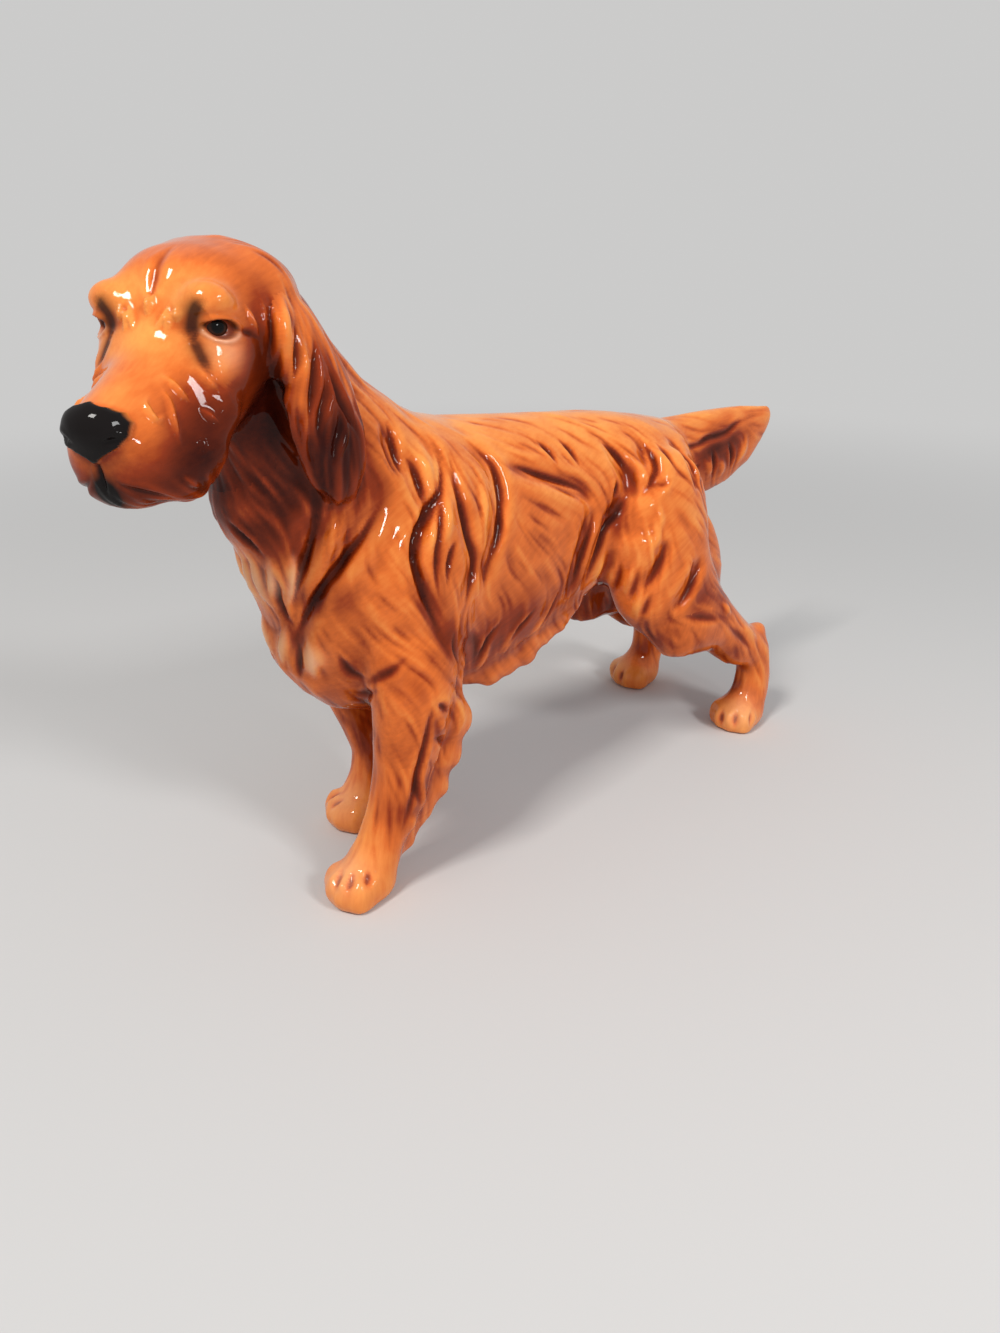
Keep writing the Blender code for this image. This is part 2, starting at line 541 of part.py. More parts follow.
neck_tilt = Matrix.Rotation(math.radians(39.0), 4, "X")
neck_seam = CENTRE @ Matrix.Translation((0, 0.5 * THROAT_Y, mix(WITHERS_HEIGHT, HEAD_HEIGHT, 0.05))) @ neck_tilt
head_block = box("head_block", (-FAR, -FAR, SEAM_GAP / 2), (FAR, FAR, FAR), neck_seam)
head_clear = box("head_clear", (-FAR, -FAR, -SEAM_GAP / 2), (FAR, FAR, FAR), neck_seam)

tail_reach = 0.8 * TAIL_WIDTH
tail_floor = CROUP_HEIGHT - 2.2 * MM - 1.25 * TAIL_FEATHER
tail_block = box("tail_block", (-tail_reach, TAIL_SEAM_Y + SEAM_GAP, tail_floor), (tail_reach, FAR * 2, FAR), CENTRE)
tail_clear = box("tail_clear", (-tail_reach, TAIL_SEAM_Y, tail_floor), (tail_reach, FAR * 2, FAR), CENTRE)

legs = {}
for flank, hand in ((1, "left"), (-1, "right")):
    inner, outer = sorted((0.0, flank * FAR))
    legs["foreleg_" + hand] = box("foreleg_block_" + hand, (inner, -FAR, 0), (outer, LEG_DIVIDE_Y, FORELEG_SEAM), CENTRE)
    legs["hindleg_" + hand] = box("hindleg_block_" + hand, (inner, LEG_DIVIDE_Y, 0), (outer, FAR * 2, HINDLEG_SEAM), CENTRE)
fore_clear = box("fore_clear", (-FAR, -FAR, -FAR), (FAR, LEG_DIVIDE_Y, FORELEG_SEAM + SEAM_GAP), CENTRE)
hind_clear = box("hind_clear", (-FAR, LEG_DIVIDE_Y, -FAR), (FAR, FAR * 2, HINDLEG_SEAM + SEAM_GAP), CENTRE)

drill = bmesh.new()
bmesh.ops.create_cone(drill, cap_ends=True, segments=RING_POINTS, radius1=VENT_WIDTH / 2, radius2=VENT_WIDTH / 2,
                      depth=0.6 * WITHERS_HEIGHT - LOIN_FLOOR + 30 * MM,
                      matrix=CENTRE @ Matrix.Translation((0, 0.62 * RUMP_Y, LOIN_FLOOR)))
drill_mesh = bpy.data.meshes.new("vent")
drill.to_mesh(drill_mesh)
drill.free()
vent = hide(add_object("vent", drill_mesh))

casting("torso", skin, remove=(head_clear, tail_clear, fore_clear, hind_clear, core, vent))
casting("head", skin, keep=(head_block,), remove=(core,))
casting("tail", skin, keep=(tail_block,))
for name, block in legs.items():
    casting(name, skin, keep=(block,))
for flank, hand in ((1, "left"), (-1, "right")):
    flap = bmesh.new()
    ear(flap, flank)
    flap_skin = thinned(melted(flap, EAR_VOXEL, 2), EAR_TRIANGLES)
    flap_skin.transform(CENTRE)
    casting("ear_" + hand, flap_skin, remove=(clearance,))
bpy.data.meshes.remove(skin)
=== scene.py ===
# %% [markdown]
# # A glazed porcelain setter
# The figurine stands about 127 mm tall. It was cast in parts from liquid clay, stuck together, fired,
# sprayed with orange and brown colours and glazed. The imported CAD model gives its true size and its
# parts. This lesson turns that plain model into the modelled, painted and glazed figure.

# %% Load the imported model
import math

import bmesh
import bpy
import numpy as np
from mathutils import Euler, Matrix, Vector
from mathutils.bvhtree import BVHTree
from mathutils.kdtree import KDTree


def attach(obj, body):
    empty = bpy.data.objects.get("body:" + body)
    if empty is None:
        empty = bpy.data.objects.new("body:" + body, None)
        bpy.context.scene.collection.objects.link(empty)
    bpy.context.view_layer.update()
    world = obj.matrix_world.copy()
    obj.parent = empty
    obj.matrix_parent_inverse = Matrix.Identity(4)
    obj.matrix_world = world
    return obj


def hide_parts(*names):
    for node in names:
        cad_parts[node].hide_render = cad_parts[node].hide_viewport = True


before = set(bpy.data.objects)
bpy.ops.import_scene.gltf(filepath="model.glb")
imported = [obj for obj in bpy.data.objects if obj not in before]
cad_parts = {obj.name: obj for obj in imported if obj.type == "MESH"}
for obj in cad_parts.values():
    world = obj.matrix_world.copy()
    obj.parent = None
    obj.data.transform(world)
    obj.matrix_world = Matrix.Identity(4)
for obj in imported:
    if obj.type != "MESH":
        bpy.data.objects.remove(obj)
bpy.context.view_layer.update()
MM = 0.001
print("castings:", ", ".join(sorted(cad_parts)))

# %% [markdown]
# ## One skin of clay
# On the real figure the joints between the castings are wiped smooth and no seam is left. The plain
# parts stand a hair apart, so they are grown a little until they touch, and a voxel remesh melts them
# into one even net of small faces. Then the skin is drawn in by the same amount. Modelling the whole
# figure in one go keeps every lock of hair running over the seams, as the sculptor's tool did.
# The vent hole under the belly gets a plug, so that the skin closes over the hollow inside. Lumps of slip
# behind each ear hold it to the neck.

# %% Join the castings
VENT_PLACE = (-0.0003, 0.0143)
VENT_RADIUS = 2.2 * MM
PLUG_LENGTH = 5 * MM
PLUG_DEPTH = 0.1 * MM
BESIDE_VENT = 4 * MM
BELOW_BELLY = 20 * MM

clay = bmesh.new()
for name in sorted(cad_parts):
    clay.from_mesh(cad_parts[name].data)
bmesh.ops.remove_doubles(clay, verts=clay.verts, dist=1e-6)
castings = BVHTree.FromBMesh(clay)
below = Vector((VENT_PLACE[0] + BESIDE_VENT, VENT_PLACE[1], BELOW_BELLY))
belly = castings.ray_cast(below, Vector((0, 0, 1)))[0].z
plug_middle = belly + PLUG_DEPTH + PLUG_LENGTH / 2
bmesh.ops.create_cone(clay, cap_ends=True, segments=24, radius1=VENT_RADIUS, radius2=VENT_RADIUS,
                      depth=PLUG_LENGTH, matrix=Matrix.Translation((*VENT_PLACE, plug_middle)))
print("joined", len(clay.faces), "faces, belly at", round(belly / MM, 1), "mm")

# %% Slip behind the ears
SLIP_HEIGHTS = (0.35, 0.5, 0.65, 0.8)
SLIP_REACH = 3 * MM
SLIP_OVERLAP = {"ear_left": 0.4 * MM, "ear_right": 1.1 * MM}

graph = bpy.context.evaluated_depsgraph_get()
bodies = [BVHTree.FromObject(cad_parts[name], graph) for name in ("torso", "head")]
for name, overlap in SLIP_OVERLAP.items():
    ear = [v.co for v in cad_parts[name].data.vertices]
    low = min(co.z for co in ear)
    high = max(co.z for co in ear)
    for share in SLIP_HEIGHTS:
        level = [co for co in ear if abs(co.z - low - share * (high - low)) < SLIP_REACH]
        middle = sum(level, Vector()) / len(level)
        reached = min((tree.find_nearest(middle) for tree in bodies), key=lambda found: found[3])
        bmesh.ops.create_icosphere(clay, subdivisions=3, radius=reached[3] / 2 + overlap,
                                   matrix=Matrix.Translation((middle + reached[0]) / 2))
        print("slip behind", name, round(reached[3] / MM, 1), "mm thick")

# %% Melt them into one skin
SEAM_GROWTH = 0.40 * MM
SKIN_VOXEL = 0.57 * MM
SMOOTHING = 12


def as_object(name, bm):
    """A new object at the origin from a bmesh, which is used up."""
    mesh = bpy.data.meshes.new(name)
    bm.to_mesh(mesh)
    bm.free()
    obj = bpy.data.objects.new(name, mesh)
    bpy.context.collection.objects.link(obj)
    return obj


def taken_mesh(obj):
    """The object's mesh with its modifiers applied. The object itself goes."""
    graph = bpy.context.evaluated_depsgraph_get()
    mesh = bpy.data.meshes.new_from_object(obj.evaluated_get(graph))
    bpy.data.objects.remove(obj)
    return mesh


clay.normal_update()
for v in clay.verts:
    v.co += v.normal * SEAM_GROWTH
lump = as_object("clay", clay)
melt = lump.modifiers.new("melt", "REMESH")
melt.mode = "VOXEL"
melt.voxel_size = SKIN_VOXEL
skin = bmesh.new()
skin.from_mesh(taken_mesh(lump))

outer = {max(skin.verts, key=lambda v: v.co.z)}
edge_of_search = list(outer)
while edge_of_search:
    v = edge_of_search.pop()
    for edge in v.link_edges:
        other = edge.other_vert(v)
        if other not in outer:
            outer.add(other)
            edge_of_search.append(other)
bmesh.ops.delete(skin, geom=[v for v in skin.verts if v not in outer], context="VERTS")
skin.normal_update()
for v in skin.verts:
    v.co -= v.normal * SEAM_GROWTH
for turn in range(SMOOTHING):
    bmesh.ops.smooth_vert(skin, verts=skin.verts, factor=0.5,
                          use_axis_x=True, use_axis_y=True, use_axis_z=True)
skin.normal_update()
skin_tree = BVHTree.FromBMesh(skin)
print("skin of", len(skin.faces), "faces")

# %% [markdown]
# ## Back into castings
# Each face of the skin belongs to the casting that lies closest to it. The faces are sorted into nine
# pieces, which take the place of the nine plain nodes. The skin's own normals travel along with every
# point, so that both sides of a seam are later pushed the same way and stay together. Head and ears are
# divided once more for the finest work. The new points on their borders are remembered: they stay
# halfway between their neighbours, so that no crack opens towards the coarser trunk.

# %% Sort the skin into pieces
owner, corners, triangles = [], [], []
for name in sorted(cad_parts):
    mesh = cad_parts[name].data
    owner += [name] * len(mesh.polygons)
    triangles += [[len(corners) + i for i in p.vertices] for p in mesh.polygons]
    corners += [v.co.copy() for v in mesh.vertices]
nearest = BVHTree.FromPolygons(corners, triangles)

push = skin.verts.layers.float_vector.new("push")
for v in skin.verts:
    v[push] = v.normal
skin.faces.index_update()
faces_of = {name: set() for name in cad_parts}
for face in skin.faces:
    faces_of[owner[nearest.find_nearest(face.calc_center_median())[2]]].add(face.index)

FINE_PIECES = ("head", "ear_left", "ear_right")
pieces, halfway = {}, {}
for name in sorted(faces_of):
    part = skin.copy()
    bmesh.ops.delete(part, geom=[f for f in part.faces if f.index not in faces_of[name]], context="FACES")
    made = set()
    if name in FINE_PIECES:
        split = bmesh.ops.subdivide_edges(part, edges=part.edges, cuts=1, use_grid_fill=True)
        made = {g for g in split["geom_inner"] if isinstance(g, bmesh.types.BMVert) and g.is_boundary}
    part.verts.index_update()
    halfway[name] = [[v.index] + [e.other_vert(v).index for e in v.link_edges if e.is_boundary] for v in made]
    pieces[name] = as_object(name + "_glazed", part)
    print(name, len(pieces[name].data.polygons), "faces")
skin.free()

# %% Read all points of the pieces
order = sorted(pieces)
counts = [len(pieces[name].data.vertices) for name in order]
starts = dict(zip(order, np.cumsum([0] + counts[:-1])))


def vectors(layer, key):
    """The three numbers of every entry in a layer of a mesh, one row each."""
    flat = np.empty(len(layer) * 3, np.float32)
    layer.foreach_get(key, flat)
    return flat.reshape(-1, 3).astype(float)


def gather(read):
    """What a function reads from each piece, in one array for all points."""
    return np.concatenate([read(pieces[name].data) for name in order])


points = gather(lambda mesh: vectors(mesh.vertices, "co") / MM)
push_out = gather(lambda mesh: vectors(mesh.attributes["push"].data, "vector"))
push_out /= np.linalg.norm(push_out, axis=1)[:, None]
on_piece = np.concatenate([np.full(n, i) for i, n in enumerate(counts)])
print(len(points), "points to model")

# %% [markdown]
# ## Drawing through the camera
# The place of the camera was worked out from the photograph. A spot on it is a line of sight, and where
# that line meets the skin is a spot on the dog. Nearly all strokes are drawn this way, as a few spots on
# the photograph, which is 1000 pixels wide. The hidden right side of the dog repeats the left one:
# across the middle of the body, with the forelegs a step apart, and on the head across the plane of the
# turned face.

# %% Lines of sight
PHOTO_MIDDLE = (500.0, 666.5)
PHOTO_FOCUS = 1000.0
CAMERA_PLACE = Vector((0.16260, -0.14515, 0.129))
CAMERA_TURN = Euler((math.radians(66.0), 0.0, math.radians(48.6)))
SIGHT_STEPS = np.arange(0.12, 0.36, 0.004)
NOSE_SPOT = (100, 425)
EYE_SPOT = (217, 329)


def seen(spot):
    """The place on the skin, in millimetres, that a spot on the photograph shows."""
    across, upward = spot[0] - PHOTO_MIDDLE[0], PHOTO_MIDDLE[1] - spot[1]
    ray = CAMERA_TURN.to_matrix() @ Vector((across, upward, -PHOTO_FOCUS))
    ray.normalize()
    hit = skin_tree.ray_cast(CAMERA_PLACE, ray)[0]
    if hit is None:
        tries = [skin_tree.find_nearest(CAMERA_PLACE + ray * reach) for reach in SIGHT_STEPS]
        hit = min(tries, key=lambda found: found[3])[0]
    return np.array(hit) / MM


def on_skin(place):
    """The spot of the skin closest to a place, in millimetres."""
    return np.array(skin_tree.find_nearest(Vector(place) * MM)[0]) / MM


print("nose tip seen at", seen(NOSE_SPOT).round(1))

# %% The dog's other side
MIDDLE_X = -0.3
FOREHAND_SHIFT = 2.2
FOREHAND_START = -18.0
FOREHAND_RUN = 12.0
FORE_STEP = 16.0
STEP_HEIGHTS = (5, 10, 16, 26, 44, 56)
STEP_SHARES = (1, 0.95, 0.9, 0.6, 0.2, 0)
EAR_TOP = 117.1
EAR_DROP = 32.5
EAR_SWING = np.array([1.9, 15.2, 0.0])
HEAD_BACK = np.array([0.0, -61.15, 123.7])
HEAD_TURN = math.radians(32.0)
HEAD_BOW = math.radians(9.0)
HEAD_LEFT = np.array([math.cos(HEAD_TURN), math.sin(HEAD_TURN), 0.0])
HEAD_FORWARD = np.array([math.sin(HEAD_TURN) * math.cos(HEAD_BOW),
                         -math.cos(HEAD_TURN) * math.cos(HEAD_BOW), -math.sin(HEAD_BOW)])
HEAD_UP = np.cross(HEAD_LEFT, -HEAD_FORWARD)


def on_head(left, forward, up):
    """The place of a spot that is measured on the head."""
    return HEAD_BACK + left * HEAD_LEFT + forward * HEAD_FORWARD + up * HEAD_UP


def head_place(where):
    """Left, forward and up of places, measured on the head."""
    return (where - HEAD_BACK) @ np.stack([HEAD_LEFT, HEAD_FORWARD, HEAD_UP], axis=1)


def other_side(places, region):
    """The same places on the dog's right, laid back onto the skin."""
    places = np.asarray(places, float)
    height = places[:, 2]
    if region in ("face", "ear"):
        places = places - 2 * ((places - HEAD_BACK) @ HEAD_LEFT)[:, None] * HEAD_LEFT
        if region == "ear":
            share = np.clip((EAR_TOP - height) / EAR_DROP, 0, 1) ** 1.5
            places = places + share[:, None] * EAR_SWING
    else:
        forehand = np.clip((FOREHAND_START - places[:, 1]) / FOREHAND_RUN, 0, 1)
        middle = MIDDLE_X + FOREHAND_SHIFT * forehand
        places = np.stack([2 * middle - places[:, 0], places[:, 1], height], axis=1)
        if region == "foreleg":
            places[:, 1] += FORE_STEP * np.interp(height, STEP_HEIGHTS, STEP_SHARES)
    return np.array([on_skin(p) for p in places])


print("right eye near", other_side([seen(EYE_SPOT)], "face")[0].round(1))

# %% [markdown]
# ## Corrections by thumb
# Held against the photograph, the outline of the plain parts is a millimetre or two off in places. Soft
# grabs pull the clay there: a spot, the region that says how it repeats on the right, a reach, and a
# pull towards the dog's left, back and up. Where a grab and its repeat overlap, they share one pull.

# %% Grabs
grabs = {
    "crown": ((283, 268), "face", 8.0, (0.1, 0.9, 0.9)),
    "brow": ((135, 265), "face", 5.0, (-0.5, -0.3, 0.8)),
    "muzzle_side": ((103, 350), "face", 6.0, (-1.0, -0.64, 0.0)),
    "nape": ((355, 362), "body", 9.0, (0.0, -1.0, -0.9)),
    "throat": ((216, 505), "body", 5.0, (0.0, -1.2, 0.0)),
    "chest": ((255, 600), "body", 9.0, (0.2, 1.5, 0.2)),
    "chest_low": ((305, 680), "body", 6.0, (0.0, -0.8, -0.5)),
    "belly": ((530, 655), "body", 8.0, (0.0, 0.0, 1.6)),
    "groin": ((600, 605), "body", 6.0, (0.0, 0.0, -1.6)),
    "rump": ((716, 530), "body", 8.0, (0.0, -1.8, 0.0)),
    "hock": ((766, 680), "body", 8.0, (0.0, 1.8, 0.0)),
    "feather": ((452, 762), "foreleg", 6.0, (0.0, -2.0, 0.0)),
    "feather_low": ((415, 835), "foreleg", 6.0, (0.0, -1.8, 0.0)),
    "tail": ((765, 445), "body", 8.0, (0.0, 1.0, -0.7)),
}


def hold(place, reach):
    """How firmly a soft grab at a place holds each point, from 0 to 1."""
    return np.exp(-(np.linalg.norm(points - place, axis=1) / reach) ** 2)[:, None]


pulled = np.zeros_like(points)
for spot, region, reach, pull in grabs.values():
    across = HEAD_LEFT if region == "face" else np.array([1.0, 0.0, 0.0])
    pull = np.array(pull)
    near_side = seen(spot)
    held = hold(near_side, reach)
    repeat = hold(other_side([near_side], region)[0], reach)
    mirrored = pull - 2 * (pull @ across) * across
    pulled += (held * pull + repeat * mirrored) / np.maximum(held + repeat, 1)
print("pulled by up to", round(np.linalg.norm(pulled, axis=1).max(), 1), "mm")

# %% [markdown]
# ## Strokes of the modelling tool
# The sculptor drew the coat with a tool: long curved furrows behind the shoulder and over the ribs,
# shorter ones on loin, hip and chest, and raised locks between them. A stroke presses the skin in along
# its line. One lock overlaps the next there, so one edge of the stroke stands higher than the other,
# and colour gathers in its bottom. Beside the lower edge lies a soft band of painted shade, as if the
# higher lock shaded it. Where several coats of one colour meet, they cover more and more.
# A bump texture could draw such lines too, but it would not show in the outline, so the points move.

# %% Coats of colour
HIDES = {"dark": "pale", "pale": "dark"}
HIDDEN_SHARE = 0.7
paint = {tone: np.zeros(len(points)) for tone in ("dark", "pale", "ink", "rim")}


def cover(tone, which, amount):
    """Lay a coat of colour over what is there. Full cover is 1, and it hides most of the opposite tone."""
    amount = np.clip(amount, 0, 1)
    paint[tone][which] = 1 - (1 - paint[tone][which]) * (1 - amount)
    if tone in HIDES:
        paint[HIDES[tone]][which] *= 1 - HIDDEN_SHARE * amount


print("tones:", ", ".join(paint))

# %% Lines on the skin
LINE_GAP = 0.35


def even_line(knots, gap=LINE_GAP):
    """A smooth line through the knots with a point about every third of a millimetre."""
    knots = np.asarray(knots, float)
    knots = np.vstack([2 * knots[0] - knots[1], knots, 2 * knots[-1] - knots[-2]])
    line = []
    for a, b, c, d in zip(knots, knots[1:], knots[2:], knots[3:]):
        for t in np.arange(0, 1, gap / max(gap, np.linalg.norm(c - b))):
            line.append(0.5 * (2 * b + (c - a) * t + (2 * a - 5 * b + 4 * c - d) * t ** 2
                               + (3 * b - a - 3 * c + d) * t ** 3))
    return np.array(line + [knots[-2]])


def along_line(line, reach):
    """Points near a line: which, how far off to the left of it (right is negative), how far along, and
    how squarely each faces the way the line does, from 0 to 1."""
    near = np.where(np.all((points > line.min(0) - reach) & (points < line.max(0) + reach), axis=1))[0]
    if len(near) == 0:
        return near, None, None, None
    gaps = np.linalg.norm(points[near][:, None, :] - line[None, :, :], axis=2)
    best = gaps.argmin(1)
    facing = push_out[near[gaps.argmin(0)]]
    off = gaps[np.arange(len(near)), best]
    square = np.clip(1.6 * (push_out[near] * facing[best]).sum(1) - 0.1, 0, 1)
    keep = (off < reach) & (square > 0)
    near, best, off, square = near[keep], best[keep], off[keep], square[keep]
    way = np.gradient(line, axis=0)[best]
    left = (np.cross(push_out[near], way) * (points[near] - line[best])).sum(1)
    return near, np.where(left > 0, off, -off), best / max(1, len(line) - 1), square


print("a line 3 mm long has", len(even_line([(0, 0, 0), (0, 3, 0)])), "points")

# %% The stroke tool
STROKE_REACH = 4.0
NARROW_END = 0.45
BANK_OFF = 1.9
BANK_HEIGHT = 0.35
lift = np.zeros(len(points))
hair_places, hair_ways = [], []


def stroke(line, width, depth, dark=0.0, tone="dark", taper=0.45, lean=0.0):
    """Press a furrow of the given depth, or raise a lock where the depth is negative, and colour it.
    With a lean of 1 only its left bank stands up and its right bank gets a band of painted shade; -1 is the
    other way."""
    near, off, along, square = along_line(line, STROKE_REACH * width)
    if len(near) == 0:
        return
    fade = np.clip(np.minimum(along, 1 - along) / taper, 0, 1)
    fade = fade * fade * (3 - 2 * fade)
    across = off / (width * (NARROW_END + (1 - NARROW_END) * fade))
    core = np.exp(-across ** 2)
    bank = np.exp(-(np.abs(across) - BANK_OFF) ** 2) * BANK_HEIGHT * (1 + lean * np.sign(across))
    lift[near] += square * fade * depth * ((bank if depth > 0 else 0) - core)
    # The narrow part is colour gathered in the furrow; the wide soft part is painted shade, moved to the
    # lower bank by the lean.
    shade = 0.85 * np.exp(-(across / 0.8) ** 2) + 0.35 * np.exp(-((across + 1.2 * lean) / 1.8) ** 2)
    cover(tone, near, dark * fade ** 0.7 * np.minimum(shade, 1))


def draw(strokes, region, width, depth, dark, tone="dark", lean=0.0, hair=True, taper=0.45):
    """Draw named strokes, given as spots on the photograph, on both sides of the dog."""
    for spots in strokes.values():
        near_side = np.array([seen(spot) for spot in spots])
        for hand, places in ((1, near_side), (-1, other_side(near_side, region))):
            line = even_line(places)
            stroke(line, width, depth, dark, tone, taper, hand * lean)
            if hair:
                way = np.gradient(line, axis=0)[::4]
                hair_places.extend(line[::4])
                hair_ways.extend(way / np.linalg.norm(way, axis=1)[:, None])
    print(region, "strokes:", 2 * len(strokes))


print("ready to draw on", len(lift), "points")

# %% [markdown]
# ## Sprayed colours
# The painter sprayed light orange over the whole figure, then red-brown and dark brown on the muzzle,
# ears, throat, belly and tail, and wiped the paws, the chest and some locks pale. Some sprays are also
# painted light and shade: the back's upper faces, the brows, the top of the tail and spots on the flank
# are sprayed lighter as painted light and highlights, and the undersides, the inner legs, the throat and
# neck under the jaw, the lower ear and the tail's underside are sprayed darker, partly as painted shade.
# A spray is a soft round cloud around a spot. Most come before the strokes, which stay crisp on top of
# them. A painted image could hold the colours, but the skin would have to be unfolded for it. Values on
# the points need no unfolding.

# %% The spray tool
CLOUD_EDGE = 2.5
BACK_HEIGHT = 60
PAW_HEIGHT = 14
INNER_LEG_LOW = 8
INNER_LEG_RUN = 8
INNER_LEG_TOP = 70


def spray(tone, clouds, region):
    """Clouds of colour on both sides: spot on the photograph, radius in millimetres, amount."""
    for x, y, radius, amount in clouds:
        place = seen((x, y))
        for middle in (place, other_side([place], region)[0]):
            off = np.linalg.norm(points - middle, axis=1) / radius
            near = off < CLOUD_EDGE
            cover(tone, near, amount * np.exp(-off[near] ** 2))


height = points[:, 2]
upward = push_out[:, 2]
inward = -np.sign(points[:, 0] - MIDDLE_X) * push_out[:, 0]
back_painted_light = (height > BACK_HEIGHT) & (on_piece != order.index("head"))
inner_leg_shade = np.clip((height - INNER_LEG_LOW) / INNER_LEG_RUN, 0, 1) * (height < INNER_LEG_TOP)
# Painted light: on the back, faces turned up are sprayed lighter, as if lit from above.
cover("pale", slice(None), 0.75 * np.clip(upward, 0, 1) ** 1.5 * back_painted_light)
# Painted shade: faces turned down are sprayed darker, partly the figure's own brown underneath and partly
# shade below the body.
cover("dark", slice(None), 0.5 * np.clip(-upward, 0, 1) * (height > PAW_HEIGHT))
# Painted shade on the inner sides of the legs, where they shade each other.
cover("dark", slice(None), 0.45 * np.clip(inward, 0, 1) * inner_leg_shade)
print("back, belly and inner legs sprayed")

# %% Dark sprays
# Under the belly the dark is partly the figure's brown and partly painted shade below the body.
belly_darks_and_shade = [(520, 620, 8, 0.65), (480, 650, 7, 0.6), (560, 600, 6, 0.4), (450, 640, 5, 0.75),
               (430, 600, 4, 0.55), (440, 560, 3, 0.35), (470, 570, 3, 0.3)]
flank_darks = [(612, 515, 5, 0.75), (590, 545, 5, 0.55), (575, 580, 4, 0.4), (605, 605, 5, 0.6)]
thigh_darks = [(702, 598, 6, 0.6), (725, 600, 5, 0.5), (735, 650, 4, 0.4), (733, 684, 4, 0.65),
               (660, 640, 4, 0.5)]
# The spots at (230, 510) and (225, 490) are painted shadow of the jaw on the throat.
chest_darks_and_jaw_shadow = [(275, 540, 6, 0.75), (250, 530, 4, 0.6), (300, 560, 3, 0.6), (310, 600, 3.5, 0.65),
               (295, 645, 3, 0.7), (230, 510, 4, 0.9), (225, 490, 5, 0.9), (340, 600, 4, 0.35),
               (375, 490, 4, 0.45)]
# On the neck behind and below the jaw the dark is partly painted shadow of the jaw and ear.
neck_darks_and_shadow = [(300, 510, 5, 0.5), (280, 500, 6, 0.6), (255, 480, 6, 0.75), (262, 450, 6, 0.8),
              (265, 420, 5, 0.8), (262, 395, 4, 0.8)]
# Painted shade on the underside of the tail.
tail_underside_shade = [(715, 446, 5, 0.9), (700, 460, 4, 0.6), (733, 442, 5, 0.75), (720, 468, 4, 0.4),
              (748, 428, 3, 0.4)]
foreleg_darks = [(350, 670, 2.5, 0.5), (386, 672, 3, 0.5), (420, 690, 4, 0.3), (425, 790, 5, 0.4),
                 (385, 770, 9, 0.2), (402, 820, 4, 0.4), (440, 730, 3, 0.45), (395, 620, 8, 0.15)]
jaw_darks = [(226, 432, 3, 0.6), (217, 462, 3, 0.6), (204, 488, 3, 0.6), (208, 432, 4.5, 0.75),
             (203, 458, 4.5, 0.85), (197, 482, 4.5, 0.8), (222, 405, 4.5, 0.7), (240, 380, 4, 0.7)]
muzzle_darks = [(190, 440, 4, 0.4), (180, 472, 4, 0.55), (163, 491, 3.5, 0.6), (195, 412, 4, 0.35),
                (142, 492, 3, 0.4), (122, 482, 3, 0.3), (150, 464, 4, 0.3)]
temple_darks = [(250, 365, 3, 0.6), (258, 345, 3, 0.5), (262, 325, 3, 0.6), (257, 362, 3.5, 0.6),
                (266, 350, 2.5, 0.6), (240, 270, 9, 0.12), (262, 300, 3, 0.4), (225, 340, 4, 0.1)]
# On the lower half of the ear and in the hollow under its fold the dark is partly painted shade.
ear_darks_and_shade = [(335, 480, 6, 0.85), (345, 455, 6, 0.7), (330, 440, 5, 0.5), (350, 420, 4, 0.55),
             (325, 375, 4, 0.45), (318, 350, 3, 0.4), (312, 440, 3, 0.6), (293, 400, 2.5, 0.6),
             (296, 350, 1.5, 0.5), (310, 310, 4, 0.4), (340, 360, 4, 0.35), (300, 480, 4, 0.5),
             (282, 384, 2.6, 0.95)]
spray("dark", belly_darks_and_shade + flank_darks + thigh_darks + chest_darks_and_jaw_shadow + neck_darks_and_shadow + tail_underside_shade, "body")
spray("dark", foreleg_darks, "foreleg")
spray("dark", jaw_darks + muzzle_darks + temple_darks, "face")
spray("dark", ear_darks_and_shade, "ear")
print("sprayed dark")

# %% Pale sprays
# On the back the pale is partly painted light where the top of the body faces the lamps.
back_pales_and_light = [(560, 430, 9, 0.5), (480, 490, 5, 0.5), (430, 465, 5, 0.6), (612, 455, 6, 0.3)]
# (595, 580) and (609, 580) are painted highlights on the flank locks.
hind_pales_and_highlights = [(700, 515, 4, 0.5), (595, 580, 3, 0.6), (609, 580, 2.5, 0.5), (748, 635, 4, 0.5),
              (684, 630, 5, 0.2), (740, 714, 6, 0.7)]
chest_pales = [(246, 575, 4.5, 0.85), (255, 592, 4, 0.85), (270, 592, 3, 0.8), (288, 575, 3, 0.7),
               (313, 658, 3, 0.8), (281, 645, 2.5, 0.7), (248, 512, 2, 0.5), (395, 640, 6, 0.25)]
# Painted light on the top of the tail.
tail_top_light = [(700, 428, 4, 0.5), (740, 415, 4, 0.4)]
foreleg_pales = [(345, 875, 6, 0.8), (400, 720, 5, 0.2), (452, 715, 3, 0.4)]
# Painted highlights on the brows, the upper lid and between the brows.
brow_highlights = [(130, 293, 4, 0.6), (190, 288, 3.5, 0.6), (150, 340, 6, 0.5), (222, 305, 4, 0.5)]
cheek_pales = [(215, 352, 3, 0.6), (110, 395, 5, 0.2), (228, 362, 3, 0.4)]
ear_pales = [(284, 325, 2.3, 0.7), (285, 352, 2.3, 0.7), (305, 370, 2.0, 0.8), (305, 400, 2.0, 0.8),
             (304, 345, 1.8, 0.6), (296, 425, 2.5, 0.4)]
forepaw_wiped = [(343, 872, 5, 0.22)]
body_wiped = [(740, 712, 5, 0.2), (255, 585, 4, 0.12), (313, 660, 3, 0.12)]
cheek_wiped = [(222, 352, 2.5, 0.2)]
spray("pale", back_pales_and_light + hind_pales_and_highlights + chest_pales + tail_top_light, "body")
spray("pale", foreleg_pales, "foreleg")
spray("pale", brow_highlights + cheek_pales, "face")
spray("pale", ear_pales, "ear")
